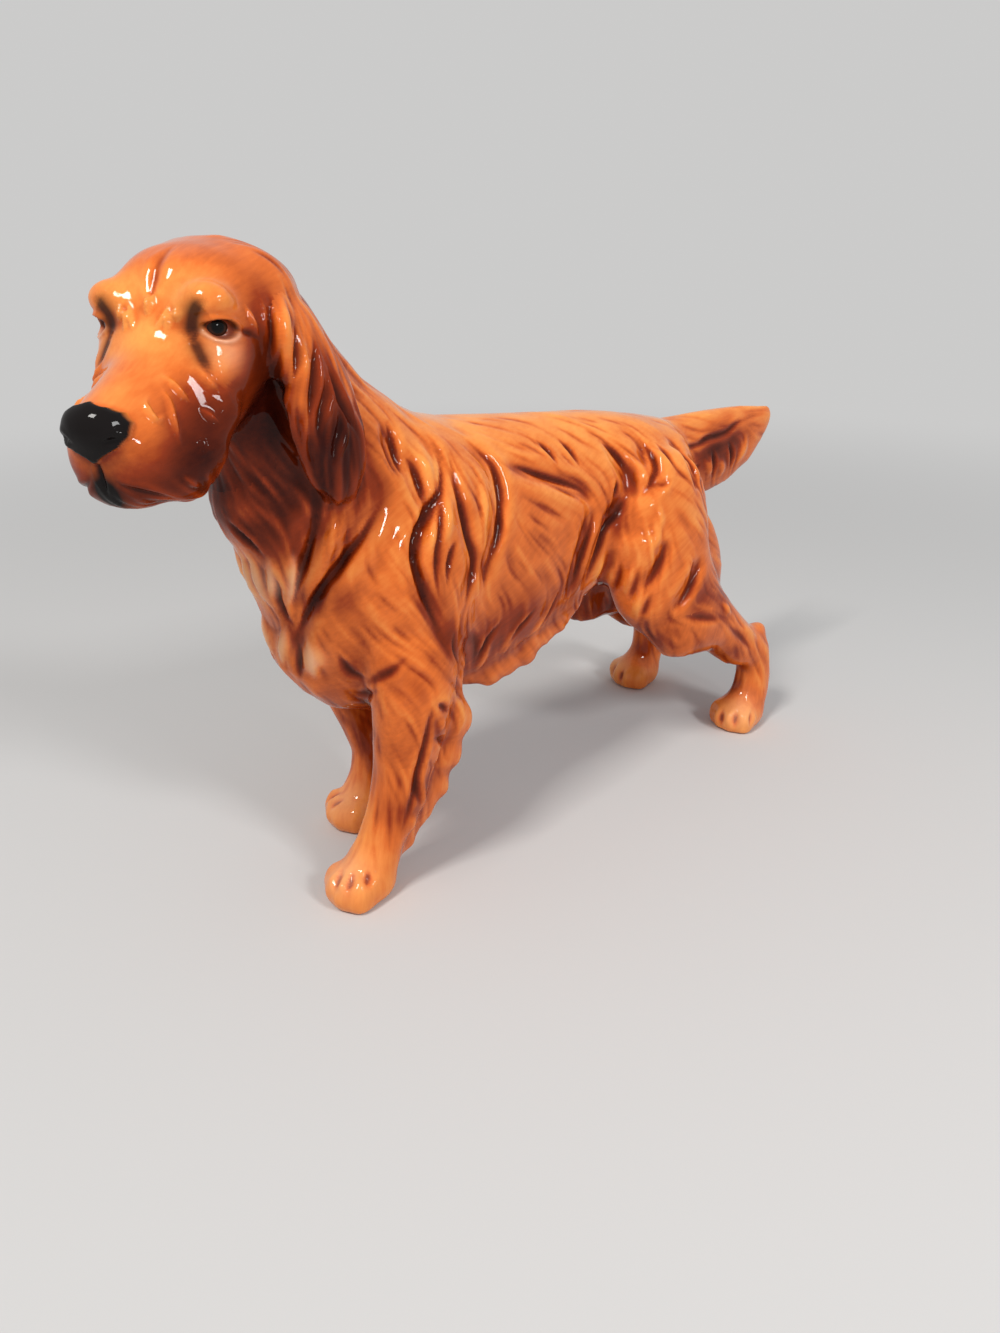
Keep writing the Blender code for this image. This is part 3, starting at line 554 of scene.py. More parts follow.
spray("rim", forepaw_wiped, "foreleg")
spray("rim", body_wiped, "body")
spray("rim", cheek_wiped, "face")
print("sprayed pale")

# %% [markdown]
# ## Drawing the coat
# Now the furrows and locks are drawn, from the long ones behind the shoulder to the toes. Each is a
# named row of spots, so that one stroke can be moved without touching the others. Sculpting by hand
# would be quicker once, but it could not be read or repeated.

# %% Furrows of the coat
long_furrows = {
    "shoulder_front": [(386, 492), (372, 520), (354, 547), (330, 577), (310, 604), (297, 627), (292, 652)],
    "shoulder_rear": [(424, 432), (436, 450), (441, 472), (440, 492), (428, 508), (416, 534), (414, 560),
                      (421, 588), (430, 612), (444, 645)],
    "front_rib": [(449, 450), (453, 475), (459, 500), (466, 535), (473, 560), (469, 590), (461, 612)],
    "rear_rib": [(462, 438), (480, 453), (493, 468), (499, 495), (499, 525), (492, 553), (485, 575),
                 (483, 592)],
    "flank_rear": [(628, 490), (616, 514), (604, 528), (598, 548), (590, 570), (583, 590)],
}
short_furrows = {
    "nape": [(387, 416), (391, 440), (396, 462), (402, 477)],
    "blade": [(403, 452), (413, 470), (420, 490), (425, 512)],
    "between_ribs": [(442, 492), (441, 520), (437, 550), (437, 580), (441, 606)],
    "rib_lock": [(459, 534), (452, 550), (448, 570), (447, 590)],
    "loin": [(505, 462), (525, 470), (547, 478), (567, 484), (582, 491), (592, 503)],
    "flank_front": [(594, 506), (590, 528), (581, 555), (574, 578), (567, 598)],
    "coupling": [(599, 440), (613, 453), (623, 467), (628, 482)],
    "coupling_low": [(618, 476), (617, 488), (612, 500)],
    "hip": [(638, 436), (650, 453), (655, 470), (650, 484), (641, 496)],
    "rump": [(676, 446), (686, 458), (694, 471), (699, 485)],
    "back_a": [(534, 438), (548, 451), (559, 466)],
    "back_b": [(556, 437), (571, 452), (581, 468)],
    "back_c": [(655, 440), (667, 454), (675, 468)],
    "belly_a": [(456, 628), (454, 648), (459, 668)],
    "belly_b": [(505, 615), (488, 640), (476, 662)],
    "belly_c": [(540, 602), (518, 630), (504, 648)],
    "belly_d": [(561, 588), (550, 612), (541, 630)],
}
chest_furrows = {
    "fold": [(320, 510), (309, 545), (300, 570), (290, 594), (283, 612)],
    "throat": [(228, 512), (238, 528), (250, 545), (262, 562)],
    "tip": [(262, 562), (270, 584), (271, 602), (279, 620), (291, 631)],
    "low": [(296, 640), (299, 658), (304, 676)],
}
soft_folds = {
    "thigh_front": [(669, 538), (661, 558), (652, 577), (644, 592)],
    "thigh_rear": [(702, 556), (692, 582), (683, 598), (671, 612)],
    "flank_gap_a": [(621, 558), (618, 578), (612, 596)],
    "flank_gap_b": [(641, 560), (636, 582), (628, 602)],
    "flank_gap_c": [(652, 590), (647, 606), (639, 622)],
    "breech": [(680, 617), (704, 618), (724, 620)],
    "hock": [(722, 619), (736, 632), (749, 645), (757, 658)],
    "hip_bar": [(652, 484), (662, 484), (672, 480)],
}
draw(long_furrows, "body", 0.9, 0.75, 0.85, lean=-0.8)
draw(short_furrows, "body", 0.7, 0.55, 0.7, lean=-0.6)
draw(soft_folds, "body", 1.0, 0.45, 0.45, lean=-0.6)
draw(chest_furrows, "body", 0.8, 0.8, 0.8)

# %% Raised locks between the furrows
locks = {
    "belly_a": [(492, 640), (482, 660), (475, 675)],
    "belly_b": [(520, 622), (509, 643), (501, 658)],
    "belly_c": [(545, 612), (535, 631), (526, 644)],
    "flank_a": [(606, 548), (600, 566), (591, 586)],
    "flank_b": [(612, 562), (610, 578), (606, 592)],
    "flank_c": [(633, 562), (629, 580), (622, 597)],
    "flank_d": [(645, 584), (640, 600), (632, 616)],
    "shoulder": [(342, 508), (332, 538), (318, 566), (304, 590)],
    "rib_a": [(448, 500), (448, 525), (444, 550)],
    "rib_b": [(472, 462), (484, 490), (484, 520), (477, 548)],
    "rib_c": [(434, 516), (431, 536), (426, 554)],
    "thigh": [(658, 498), (660, 520), (655, 548)],
    "tail_a": [(703, 458), (709, 468), (706, 480)],
    "tail_b": [(718, 458), (722, 468), (719, 478)],
    "tail_c": [(746, 430), (742, 450), (734, 466)],
    "hock_tuft": [(741, 626), (752, 634), (757, 646)],
    "breech_tuft": [(722, 602), (729, 611), (731, 616)],
}
chest_locks = {
    "side": [(243, 552), (250, 578), (261, 602), (274, 616)],
    "middle": [(266, 556), (266, 580), (268, 604)],
    "inner": [(292, 550), (290, 572), (284, 596), (277, 612)],
    "low": [(304, 634), (311, 656), (317, 678)],
    "lowest": [(278, 626), (280, 646), (285, 664)],
}
# The pale along the raised locks is partly painted highlight: on the flank, thigh and ribs it lies where the
# lamps shine.
draw(locks, "body", 1.2, -0.6, 0.45, "pale")
draw(chest_locks, "body", 1.5, -0.9, 0.85, "pale")
draw(chest_locks, "body", 0.9, 0.0, 0.35, "rim", hair=False)

# %% Tail and ears
tail_furrows = {
    "tail_top": [(678, 444), (692, 446), (708, 438), (726, 432), (738, 422), (756, 413)],
    "tail_a": [(694, 452), (698, 466), (700, 480)],
    "tail_b": [(712, 448), (714, 464), (712, 480)],
    "tail_c": [(728, 440), (732, 456), (729, 470)],
}
ear_furrows = {
    "front": [(268, 292), (270, 320), (268, 350), (264, 370)],
    "fold_rear": [(294, 318), (297, 345), (296, 368), (291, 386)],
    "strip_rear": [(313, 334), (315, 356), (313, 382), (311, 402), (308, 426)],
    "strip_front": [(298, 392), (297, 412), (299, 436), (305, 458)],
    "back_edge": [(322, 352), (330, 372), (338, 394), (350, 418), (359, 438)],
    "lock_a": [(327, 366), (326, 392), (321, 416), (318, 442)],
    "lock_b": [(338, 404), (340, 426), (336, 448), (332, 470)],
    "lock_c": [(310, 420), (309, 440), (313, 462), (321, 480)],
}
ear_locks = {
    "fold": [(281, 296), (285, 325), (285, 350), (284, 368)],
    "strip": [(304, 334), (305, 360), (304, 390), (303, 416)],
}
ear_fold_shade = {"below_fold": [(268, 378), (276, 384), (285, 388), (294, 390)]}
tail_shadows = [(712, 452, 5, 0.5), (733, 440, 4, 0.4)]
ear_shadows = [(338, 482, 7, 0.8), (346, 452, 6, 0.7), (325, 452, 5, 0.65), (350, 425, 5, 0.6),
               (330, 395, 4, 0.5)]
draw(tail_furrows, "body", 0.75, 0.7, 0.6)
spray("dark", tail_shadows, "body")
draw(ear_furrows, "ear", 0.7, 0.8, 0.7, lean=0.5)
draw(ear_locks, "ear", 1.0, -0.7, 0.5, "pale")
# Painted shade in the hollow under the ear's fold.
draw(ear_fold_shade, "ear", 1.2, 0.6, 0.9, hair=False, taper=0.2)
spray("dark", ear_shadows, "ear")

# %% Forelegs and toes
foreleg_furrows = {
    "feather_root": [(437, 690), (430, 720), (424, 750), (416, 780), (409, 810), (402, 838)],
    "feather_a": [(436, 704), (442, 706), (448, 712)],
    "feather_b": [(433, 738), (439, 739), (446, 742)],
    "feather_c": [(420, 772), (418, 790), (421, 806)],
}
foreleg_locks = {
    "feather_a": [(446, 680), (457, 702), (460, 728), (452, 748)],
    "feather_b": [(440, 716), (442, 726), (440, 734)],
    "feather_c": [(436, 748), (438, 760), (431, 772)],
    "feather_d": [(417, 784), (423, 798), (425, 810)],
    "feather_e": [(409, 814), (415, 822), (417, 830)],
}
fore_toes = {
    "outer": [(343, 866), (338, 880), (334, 896)],
    "middle": [(353, 868), (350, 882), (347, 898)],
    "inner": [(367, 868), (368, 880), (367, 892)],
}
hind_toes = {
    "outer": [(724, 706), (721, 717), (720, 728)],
    "middle": [(737, 708), (735, 719), (734, 730)],
    "inner": [(751, 708), (751, 718), (750, 729)],
}
elbow_folds = {
    "front": [(336, 648), (343, 662), (354, 674), (370, 681)],
    "rear": [(364, 684), (378, 678), (393, 670), (410, 654)],
    "low": [(350, 690), (364, 694), (380, 690)],
}
draw(elbow_folds, "foreleg", 0.9, 0.5, 0.5, hair=False)
draw(foreleg_furrows, "foreleg", 0.8, 0.8, 0.65)
draw(foreleg_locks, "foreleg", 1.1, -0.6, 0.3, "pale")
draw(fore_toes, "foreleg", 0.9, 0.7, 0.05, hair=False)
draw(hind_toes, "body", 0.9, 0.7, 0.05, hair=False)

# %% [markdown]
# ## The combed coat
# Between the main strokes the coat is combed with broad locks and fine lines. Their direction at any
# place is a mean of the main strokes near it and the usual lie of the hair on that casting. Every one
# starts at a random point and walks along that direction in short steps on the skin. Most fine lines
# leave a dark trace and the others a pale one. None starts on the face or the paws. A particle system
# could grow loose hair, but on this figure the hair is scratched into the clay.

# %% Which way the hair lies
NEAR_STROKES = 7
USUAL_SHARE = 0.3
USUAL_WAY = {"torso": (0, 0.8, -0.6), "head": (0, 0.7, -0.7), "tail": (0, 1, -0.3),
             "hindleg_left": (0, 0.3, -1), "hindleg_right": (0, 0.3, -1)}
DOWNWARD = (0, 0.1, -1)

flow = KDTree(len(hair_places))
for i, place in enumerate(hair_places):
    flow.insert(place, i)
flow.balance()


def hair_way(place, usual):
    """Which way the hair lies at a place."""
    way = usual * USUAL_SHARE
    for _, i, gap in flow.find_n(place, NEAR_STROKES):
        way += Vector(hair_ways[i]) / (gap + 1.0) ** 2
    return way.normalized()


print("directions known at", len(hair_places), "places")

# %% A line along the hair
STEP_LENGTH = 0.6
places = KDTree(len(points))
for i, place in enumerate(points):
    places.insert(place, i)
places.balance()


def fine_line(start, steps, width, depth, tone, amount):
    """Walk along the hair from a point and leave a shallow, tapering line."""
    place = Vector(points[start])
    usual = Vector(USUAL_WAY.get(order[on_piece[start]], DOWNWARD))
    traces = {}
    for step in range(steps):
        fade = math.sin(math.pi * (step + 0.5) / steps)
        for _, i, gap in places.find_range(place, 2 * width):
            traces[i] = max(traces.get(i, 0), fade * math.exp(-(gap / width) ** 2))
        place = Vector(on_skin(place + hair_way(place, usual) * STEP_LENGTH))
    which = np.fromiter(traces.keys(), int)
    trace = np.fromiter(traces.values(), float)
    lift[which] -= depth * trace
    cover(tone, which, amount * trace)


print("steps of", STEP_LENGTH, "mm over", len(points), "points")

# %% Comb the coat
BROAD_LOCKS = 420
LOCK_RISE = 0.22
LOCK_STEPS = (14, 32)
LOCK_WIDTHS = (0.9, 1.5)
FINE_LINES = 4000
FINE_STEPS = (8, 28)
FINE_WIDTH = 0.5
DARK_SHARE = 0.6
BARE_PAW = 12
BARE_FACE_START = 9
BARE_FACE_LOW = -22
left, forward, up = head_place(points).T
bare_face = (on_piece == order.index("head")) & (forward > BARE_FACE_START) & (up > BARE_FACE_LOW)
hairy = np.where(~(bare_face | (height < BARE_PAW)))[0]
rng = np.random.default_rng(7)
for start in rng.choice(hairy, BROAD_LOCKS, replace=False):
    rise = rng.uniform(-LOCK_RISE, LOCK_RISE)
    tone = "dark" if rise < 0 else "pale"
    steps = int(rng.integers(*LOCK_STEPS))
    fine_line(start, steps, rng.uniform(*LOCK_WIDTHS), -rise, tone, 1.3 * abs(rise))
for start in rng.choice(hairy, FINE_LINES, replace=False):
    steps = int(rng.integers(*FINE_STEPS))
    if rng.random() < DARK_SHARE:
        fine_line(start, steps, FINE_WIDTH, rng.uniform(0.03, 0.16), "dark", rng.uniform(0.05, 0.38))
    else:
        fine_line(start, steps, FINE_WIDTH, rng.uniform(-0.12, 0.0), "pale", rng.uniform(0.08, 0.35))
print("combed with", BROAD_LOCKS, "locks and", FINE_LINES, "fine lines")

# %% [markdown]
# ## The face
# The head looks to the dog's left, so the eyes, nose and mouth are laid out along the head's own axes:
# left, forward and up from the back of the skull. The eyes sit in almond-shaped hollows between a heavy
# upper and a thin lower lid, under round brows. The nose is black, flat above and pointed below.

# %% Wrinkles of the face
face_furrows = {
    "temple": [(254, 288), (262, 305), (265, 325), (264, 345)],
    "flew_rim": [(120, 490), (142, 497), (170, 501), (200, 497)],
}
face_ridges = {
    "muzzle_a": [(158, 372), (172, 384), (184, 398), (194, 405)],
    "muzzle_b": [(158, 384), (168, 400), (173, 420), (178, 438), (182, 450)],
    "muzzle_c": [(150, 394), (146, 406), (156, 420), (166, 414)],
    "muzzle_d": [(196, 408), (204, 416), (210, 424)],
    "cheek_a": [(190, 362), (200, 376), (210, 388), (218, 396)],
    "cheek_b": [(224, 430), (229, 438), (234, 442)],
    "flew_a": [(182, 474), (190, 482), (202, 487)],
    "temple_a": [(243, 304), (250, 320), (256, 338)],
    "temple_b": [(255, 288), (262, 306), (265, 326), (265, 350)],
    "between_a": [(130, 302), (131, 316), (133, 330)],
    "between_b": [(155, 292), (150, 304), (147, 316)],
    "between_c": [(176, 308), (168, 320), (164, 334)],
    "between_d": [(120, 304), (121, 314), (122, 322)],
}
face_swells = {
    "brow": [(178, 300), (188, 288), (204, 288), (224, 298), (240, 310)],
    "cheek": [(208, 352), (216, 372), (224, 392)],
}
jaw_swell = {"jaw": [(240, 388), (224, 412), (214, 440), (206, 474)]}
forehead_crease = ((14, 4.2), (19, 3.0), (22, 0.5), (25, -3.0))
draw(jaw_swell, "face", 3.6, -2.0, 0.0, hair=False, taper=0.3)
draw(face_furrows, "face", 0.55, 0.3, 0.3, hair=False)
# The pale along the face's ridges and swells is painted highlight on the muzzle folds, cheek, brows and
# between the brows.
draw(face_ridges, "face", 0.5, -0.7, 0.35, "pale", hair=False)
draw(face_swells, "face", 1.7, -0.5, 0.3, "pale", hair=False)
stroke(even_line([on_skin(on_head(0, f, u)) for f, u in forehead_crease]), 0.8, 0.35, 0.3)
print("face wrinkled")

# %% Eye hollows and lids
EYE_LONG = 2.2
EYE_HIGH = 1.35
EYE_AROUND = 4.0
EYE_REACH = 8.0
UPPER_LID = 0.6
LOWER_LID = 0.35
EYE_DROOP = math.radians(15.0)


def eye_axes(side):
    """Where an eye sits on the skin, and its outward, long and upward directions. The outer corner droops."""
    place = seen(EYE_SPOT) if side > 0 else other_side([seen(EYE_SPOT)], "face")[0]
    near = np.linalg.norm(points - place, axis=1) < EYE_AROUND
    out = push_out[near].mean(0)
    out /= np.linalg.norm(out)
    long = np.cross(HEAD_UP, out) * side
    long /= np.linalg.norm(long)
    high = np.cross(out, long) * side
    drooped = math.cos(EYE_DROOP) * long - math.sin(EYE_DROOP) * high
    return place, out, drooped, np.cross(out, drooped) * side


def band(ring, middle, width):
    """A soft band around the eye, 1 in its middle. The edge of the eye is where the ring is 1."""
    return np.exp(-((ring - middle) / width) ** 2)


for side in (1, -1):
    middle, out, long, high = eye_axes(side)
    offset = points - middle
    near = (np.linalg.norm(offset, axis=1) < EYE_REACH) & (push_out @ out > 0.2)
    a, b = offset[near] @ long / EYE_LONG, offset[near] @ high / EYE_HIGH
    ring = np.sqrt(a * a + b * b)
    lift[near] -= 1.0 / (1 + np.exp((ring - 0.98) * 12))
    upper = band(ring, 1.32, 0.22) * np.clip(b + 0.3, 0, 1)
    lower = band(ring, 1.25, 0.20) * np.clip(0.3 - b, 0, 1)
    lift[near] += UPPER_LID * upper + LOWER_LID * lower
    cover("rim", near, 0.35 * band(ring, 1.22, 0.2) * np.clip(-2 * b, 0, 1))
    cover("ink", near, 0.9 * band(ring, 1.05, 0.18) * np.clip(3 * b + 0.6, 0, 1))
    print("eye hollow at", middle.round(1))

# %% Nose
NOSE_HEIGHTS = (-18.8, -18.0, -17.2, -16.2, -15.2, -13.8, -12.6, -11.8, -11.1)
NOSE_HALVES = (0.5, 1.2, 2.5, 4.3, 5.3, 5.3, 4.3, 2.8, 0.0)
NO_NOSE = -9
NOSE_START = 37.0
NOSE_EDGE = 0.8
NOSE_BULGE = 0.8
NOSTRIL = ((1.6, 44.8, -15.4), (3.2, 44.0, -15.2), (4.8, 42.4, -15.6))
half = np.interp(up, NOSE_HEIGHTS, NOSE_HALVES, left=NO_NOSE, right=NO_NOSE)
front = np.clip(forward - NOSE_START, 0, 1)
inside = np.clip((half - np.abs(left)) / NOSE_EDGE, 0, 1) * front
lift += NOSE_BULGE * np.sqrt(inside)
cover("ink", slice(None), np.clip(1.8 * inside, 0, 1))
for side in (1, -1):
    nostril = [on_skin(on_head(side * aside, ahead, above)) for aside, ahead, above in NOSTRIL]
    stroke(even_line(nostril), 0.5, 0.5, 1.0, "ink")
print("nose of", int((inside > 0).sum()), "points")

# %% Mouth and last shadows of the face
MOUTH_UP = -23.6
MOUTH_HALF = 2.5
MOUTH_HIGH = 3.4
LIP_GROOVE_FORWARD = 45
LIP_GROOVE_UPS = (-17.5, -20.0, -22.5, -25.0)
lip = {"lip": [(110, 474), (120, 485), (136, 491), (156, 495), (180, 499)]}
brow_upper = {"upper": [(207, 300), (197, 304), (191, 314), (189, 328), (191, 344)]}
brow_lower = {"lower": [(189, 326), (192, 344), (199, 360), (208, 376)]}
eye_corner = {"corner": [(230, 327), (238, 331), (248, 334), (258, 340)]}
jaw_shadow_darks = [(256, 403, 4.5, 0.85), (263, 390, 3.5, 0.85), (248, 418, 4.0, 0.8), (268, 425, 4.0, 0.7),
              (240, 440, 4.0, 0.7), (270, 372, 2.0, 0.6)]
ear_low_shade = [(338, 482, 7, 0.3), (346, 452, 6, 0.25), (325, 455, 5, 0.15)]
mouth = np.exp(-((left / MOUTH_HALF) ** 2 + ((up - MOUTH_UP) / MOUTH_HIGH) ** 2)) * front
cover("ink", slice(None), 1.6 * mouth)
groove = [on_skin(on_head(0, LIP_GROOVE_FORWARD, u)) for u in LIP_GROOVE_UPS]
stroke(even_line(groove), 0.5, 0.5, 0.9, "ink")
draw(lip, "face", 0.55, 0.5, 0.6, "ink", hair=False)
draw(brow_upper, "face", 1.4, 0.25, 0.9, "ink", hair=False, taper=0.3)
draw(brow_lower, "face", 1.0, 0.25, 0.85, "ink", hair=False, taper=0.4)
# Painted shadow behind and below the jaw, and more painted shade on the lower half of the ear.
spray("dark", jaw_shadow_darks, "face")
spray("dark", ear_low_shade, "ear")
draw(eye_corner, "face", 0.6, 0.35, 0.8, hair=False, taper=0.5)

# %% [markdown]
# ## Press the strokes into the skin
# All strokes add up to one distance for every point. Moving each point along the skin's own direction
# presses them in at once, and the grabs are added. The soles stay flat on the floor.

# %% Move the points
DEEPEST = -2.2
HIGHEST = 2.6
points = points + pulled + push_out * np.clip(lift, DEEPEST, HIGHEST)[:, None]
points[:, 2] = np.maximum(points[:, 2], 0.0)
for name in order:
    for middle, a, b in halfway[name]:
        points[starts[name] + middle] = (points[starts[name] + a] + points[starts[name] + b]) / 2
    span = slice(starts[name], starts[name] + len(pieces[name].data.vertices))
    pieces[name].data.vertices.foreach_set("co", (points[span] * MM).astype(np.float32).ravel())
    pieces[name].data.update()
print("deepest", round(lift.min(), 2), "mm, highest", round(lift.max(), 2), "mm")

# %% [markdown]
# ## Colour in the hollows
# Glaze runs thin on ridges and thick in hollows. Hollows are found by comparing each point with the
# smoothed skin around it. A shader node can find them too, but only while rendering. Worked out here,
# the colours belong to the piece.

# %% Hollows and ridges from the shape
FINE_ROUNDS = 80
COARSE_ROUNDS = 26
HOLLOW_DARK = 1.6
DARKEST = 0.6
FINE_RIDGE_PALE = 0.1
COARSE_RIDGE_PALE = 1.4
PALEST = 0.45


def hollow_of(mesh, rounds):
    """How deep each point lies below the smoothed skin around it, in millimetres."""
    pairs = np.empty(len(mesh.edges) * 2, np.int32)
    mesh.edges.foreach_get("vertices", pairs)
    pairs = pairs.reshape(-1, 2)
    where = vectors(mesh.vertices, "co") / MM
    links = np.bincount(pairs.ravel(), minlength=len(where))[:, None]
    smooth = where.copy()
    for turn in range(rounds):
        total = np.zeros_like(smooth)
        for axis in range(3):
            total[:, axis] = (np.bincount(pairs[:, 0], smooth[pairs[:, 1], axis], len(where))
                              + np.bincount(pairs[:, 1], smooth[pairs[:, 0], axis], len(where)))
        smooth = 0.5 * smooth + 0.5 * total / np.maximum(links, 1)
    return ((smooth - where) * vectors(mesh.vertices, "normal")).sum(1)


rounds = {name: FINE_ROUNDS if name in FINE_PIECES else COARSE_ROUNDS for name in order}
hollow = np.concatenate([hollow_of(pieces[name].data, rounds[name]) for name in order])
cover("dark", slice(None), np.clip(hollow * HOLLOW_DARK, 0, DARKEST))
fine = np.isin(on_piece, [order.index(name) for name in FINE_PIECES])
ridge_pale = np.where(fine, FINE_RIDGE_PALE, COARSE_RIDGE_PALE)
cover("pale", slice(None), np.clip(-hollow * ridge_pale, 0, PALEST))
print("hollows up to", round(hollow.max(), 2), "mm")

for tone in paint:
    paint[tone] = np.clip(paint[tone], 0, 1)
print("mean cover", {tone: round(float(v.mean()), 2) for tone, v in paint.items()})

# %% [markdown]
# ## Keep the shading whole
# The pieces are shells that meet edge to edge at the seams. At a seam both get the same normals, so the
# glaze shines across it without a line. The colours are stored on the points.

# %% Finish the meshes
STEPS_PER_MM = 1000
normals = gather(lambda mesh: vectors(mesh.vertices, "normal"))
same = {}
for i, key in enumerate(map(tuple, np.round(points * STEPS_PER_MM).astype(np.int64))):
    same.setdefault(key, []).append(i)
for group in same.values():
    if len(group) > 1:
        shared = normals[group].sum(0)
        normals[group] = shared / np.linalg.norm(shared)

for name in order:
    obj = pieces[name]
    mesh = obj.data
    span = slice(starts[name], starts[name] + len(mesh.vertices))
    mesh.attributes.remove(mesh.attributes["push"])
    for tone, values in paint.items():
        mesh.attributes.new(tone, "FLOAT", "POINT").data.foreach_set("value", values[span].astype(np.float32))
    mesh.shade_smooth()
    mesh.normals_split_custom_set_from_vertices([tuple(n) for n in normals[span]])
    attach(obj, "root")
    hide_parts(name)
print("finished", len(order), "pieces")

# %% [markdown]
# ## Shader maths in plain Python
# A small class wraps a shader socket, so that an expression such as `1 - mask` adds the nodes itself.

# %% A socket that can be calculated with
class Tone:
    def __init__(self, tree, socket=None):
        self.tree, self.socket = tree, socket

    def node(self, kind, settings=(), sockets=(), out=0):
        """Add a node, set its settings first, then its sockets by value or link."""
        made = self.tree.nodes.new(kind)
        for key, value in dict(settings).items():
            if key == "stops":
                while len(made.color_ramp.elements) < len(value):
                    made.color_ramp.elements.new(0.5)
                for stop, (place, colour) in zip(made.color_ramp.elements, value):
                    stop.position, stop.color = place, colour
            else:
                setattr(made, key, value)
        for key, value in dict(sockets).items():
            if isinstance(value, Tone):
                self.tree.links.new(value.socket, made.inputs[key])
            else:
                made.inputs[key].default_value = value
        return Tone(self.tree, made.outputs[out])

    def maths(self, operation, *values, clamp=False):
        return self.node("ShaderNodeMath", {"operation": operation, "use_clamp": clamp}, enumerate(values))

    def __add__(self, other):
        return self.maths("ADD", self, other)

    def __sub__(self, other):
        return self.maths("SUBTRACT", self, other)

    def __rsub__(self, other):
        return self.maths("SUBTRACT", other, self)

    def __mul__(self, other):
        return self.maths("MULTIPLY", self, other)

    __radd__, __rmul__ = __add__, __mul__

    def limited(self):
        return self.maths("ADD", self, 0.0, clamp=True)

    def blend(self, other, share):
        """This colour turning into another one by a share from 0 to 1."""
        return self.node("ShaderNodeMix", {"data_type": "RGBA"}, {0: share, 6: self, 7: other}, out=2)


print("shader maths ready")

# %% [markdown]
# ## The glaze
# Under the clear glaze the sprayed colours run from dark brown through rust and orange to a light
# orange. One value picks the colour: it starts at orange, pale sprays raise it and dark ones lower it.
# Soft clouds and fine streaks keep the spray from looking flat. Only the clear coat shines, and least
# where dark or black colour lies thick.

# %% Colours of the glaze
COAT_COLOURS = [(0.0, (0.035, 0.004, 0.002, 1)), (0.30, (0.29, 0.034, 0.005, 1)),
                (0.62, (0.72, 0.152, 0.022, 1)), (1.0, (0.96, 0.35, 0.075, 1))]
COAT_START = 0.62
COAT_IOR = 1.36
BLACK = (0.008, 0.006, 0.006, 1.0)
BONE = (0.82, 0.62, 0.46, 1.0)


def new_paint(name, settings):
    """A new material and its shader, with some of the shader's inputs set."""
    material = bpy.data.materials.new(name)
    material.use_nodes = True
    shader = material.node_tree.nodes["Principled BSDF"]
    for key, value in settings.items():
        shader.inputs[key].default_value = value
    return material, shader


print("coat colours:", len(COAT_COLOURS))

# %% The glaze material
DULLEST = 0.45
STREAK_SIZE = (0.0009, 0.006, 0.0009)
STREAK_SHARE = 0.25
CLOUD_SCALE = 110.0
CLOUD_SHARE = 0.5
DARK_PATCHES = 0.25


def glaze(name, hair_turn):
    """Sprayed colours under gloss. hair_turn lays the streaks along the hair of this piece."""
    material, shader = new_paint(name, {"Roughness": 0.6, "Specular IOR Level": 0.0,
                                        "Coat IOR": COAT_IOR, "Coat Roughness": 0.04})
    tree = material.node_tree
    start = Tone(tree)
    place = start.node("ShaderNodeTexCoord", out=3)
    hair = start.node("ShaderNodeMapping", {"vector_type": "TEXTURE"},
                      {"Vector": place, "Rotation": hair_turn, "Scale": STREAK_SIZE})
    streaks = start.node("ShaderNodeTexNoise", {},
                         {"Vector": hair, "Scale": 1.0, "Detail": 3.0, "Roughness": 0.6})
    clouds = start.node("ShaderNodeTexNoise", {},
                        {"Vector": place, "Scale": CLOUD_SCALE, "Detail": 3.0, "Roughness": 0.5})

    def painted(tone):
        return start.node("ShaderNodeAttribute", {"attribute_name": tone}, out=2)

    light = 1 - painted("dark")
    shade = (COAT_START + painted("pale") * (1 - COAT_START)) * light
    uneven = (clouds - 0.5) * CLOUD_SHARE + (streaks - 0.5) * STREAK_SHARE
    shade = shade + uneven * (DARK_PATCHES + (1 - DARK_PATCHES) * light)
    colour = start.node("ShaderNodeValToRGB", {"stops": COAT_COLOURS}, {"Fac": shade.limited()})
    colour = colour.blend(BONE, painted("rim")).blend(BLACK, painted("ink"))
    gloss = DULLEST + (1 - DULLEST) * light * (1 - painted("ink"))
    tree.links.new(colour.socket, shader.inputs["Base Color"])
    tree.links.new(gloss.socket, shader.inputs["Coat Weight"])
    return material


HAIR = {"torso": (0.5, 0, 0), "head": (0.2, 0, 0.56), "tail": (0.15, 0, 0),
        "ear_left": (1.4, 0, 0), "ear_right": (1.4, 0, 0)}
LEG_HAIR = (1.45, 0, 0)
for name in order:
    pieces[name].data.materials.clear()
    pieces[name].data.materials.append(glaze(name + "_glaze", HAIR.get(name, LEG_HAIR)))
print("glazed", len(order), "pieces")

# %% [markdown]
# ## Eyes
# The eyes are painted on smooth swellings between the lids: a brown ring round a black pupil on a pale
# ground, under a very shiny glaze. Each is a shallow cap of a sphere, set so deep that the lids frame it.

# %% Make the eyes
EYE_BALL = 3.2
EYE_PROUD = 0.05
EYE_CUT = 0.35 * EYE_BALL
PUPIL_SIDE = 0.1
PUPIL_UP = 0.35
IRIS_REACH = 2.2
IRIS_COLOURS = [(0.0, (0.003, 0.002, 0.002, 1)), (0.38, (0.003, 0.002, 0.002, 1)),
                (0.54, (0.045, 0.014, 0.006, 1)), (0.72, (0.012, 0.004, 0.002, 1)),
                (0.86, (0.60, 0.52, 0.44, 1))]


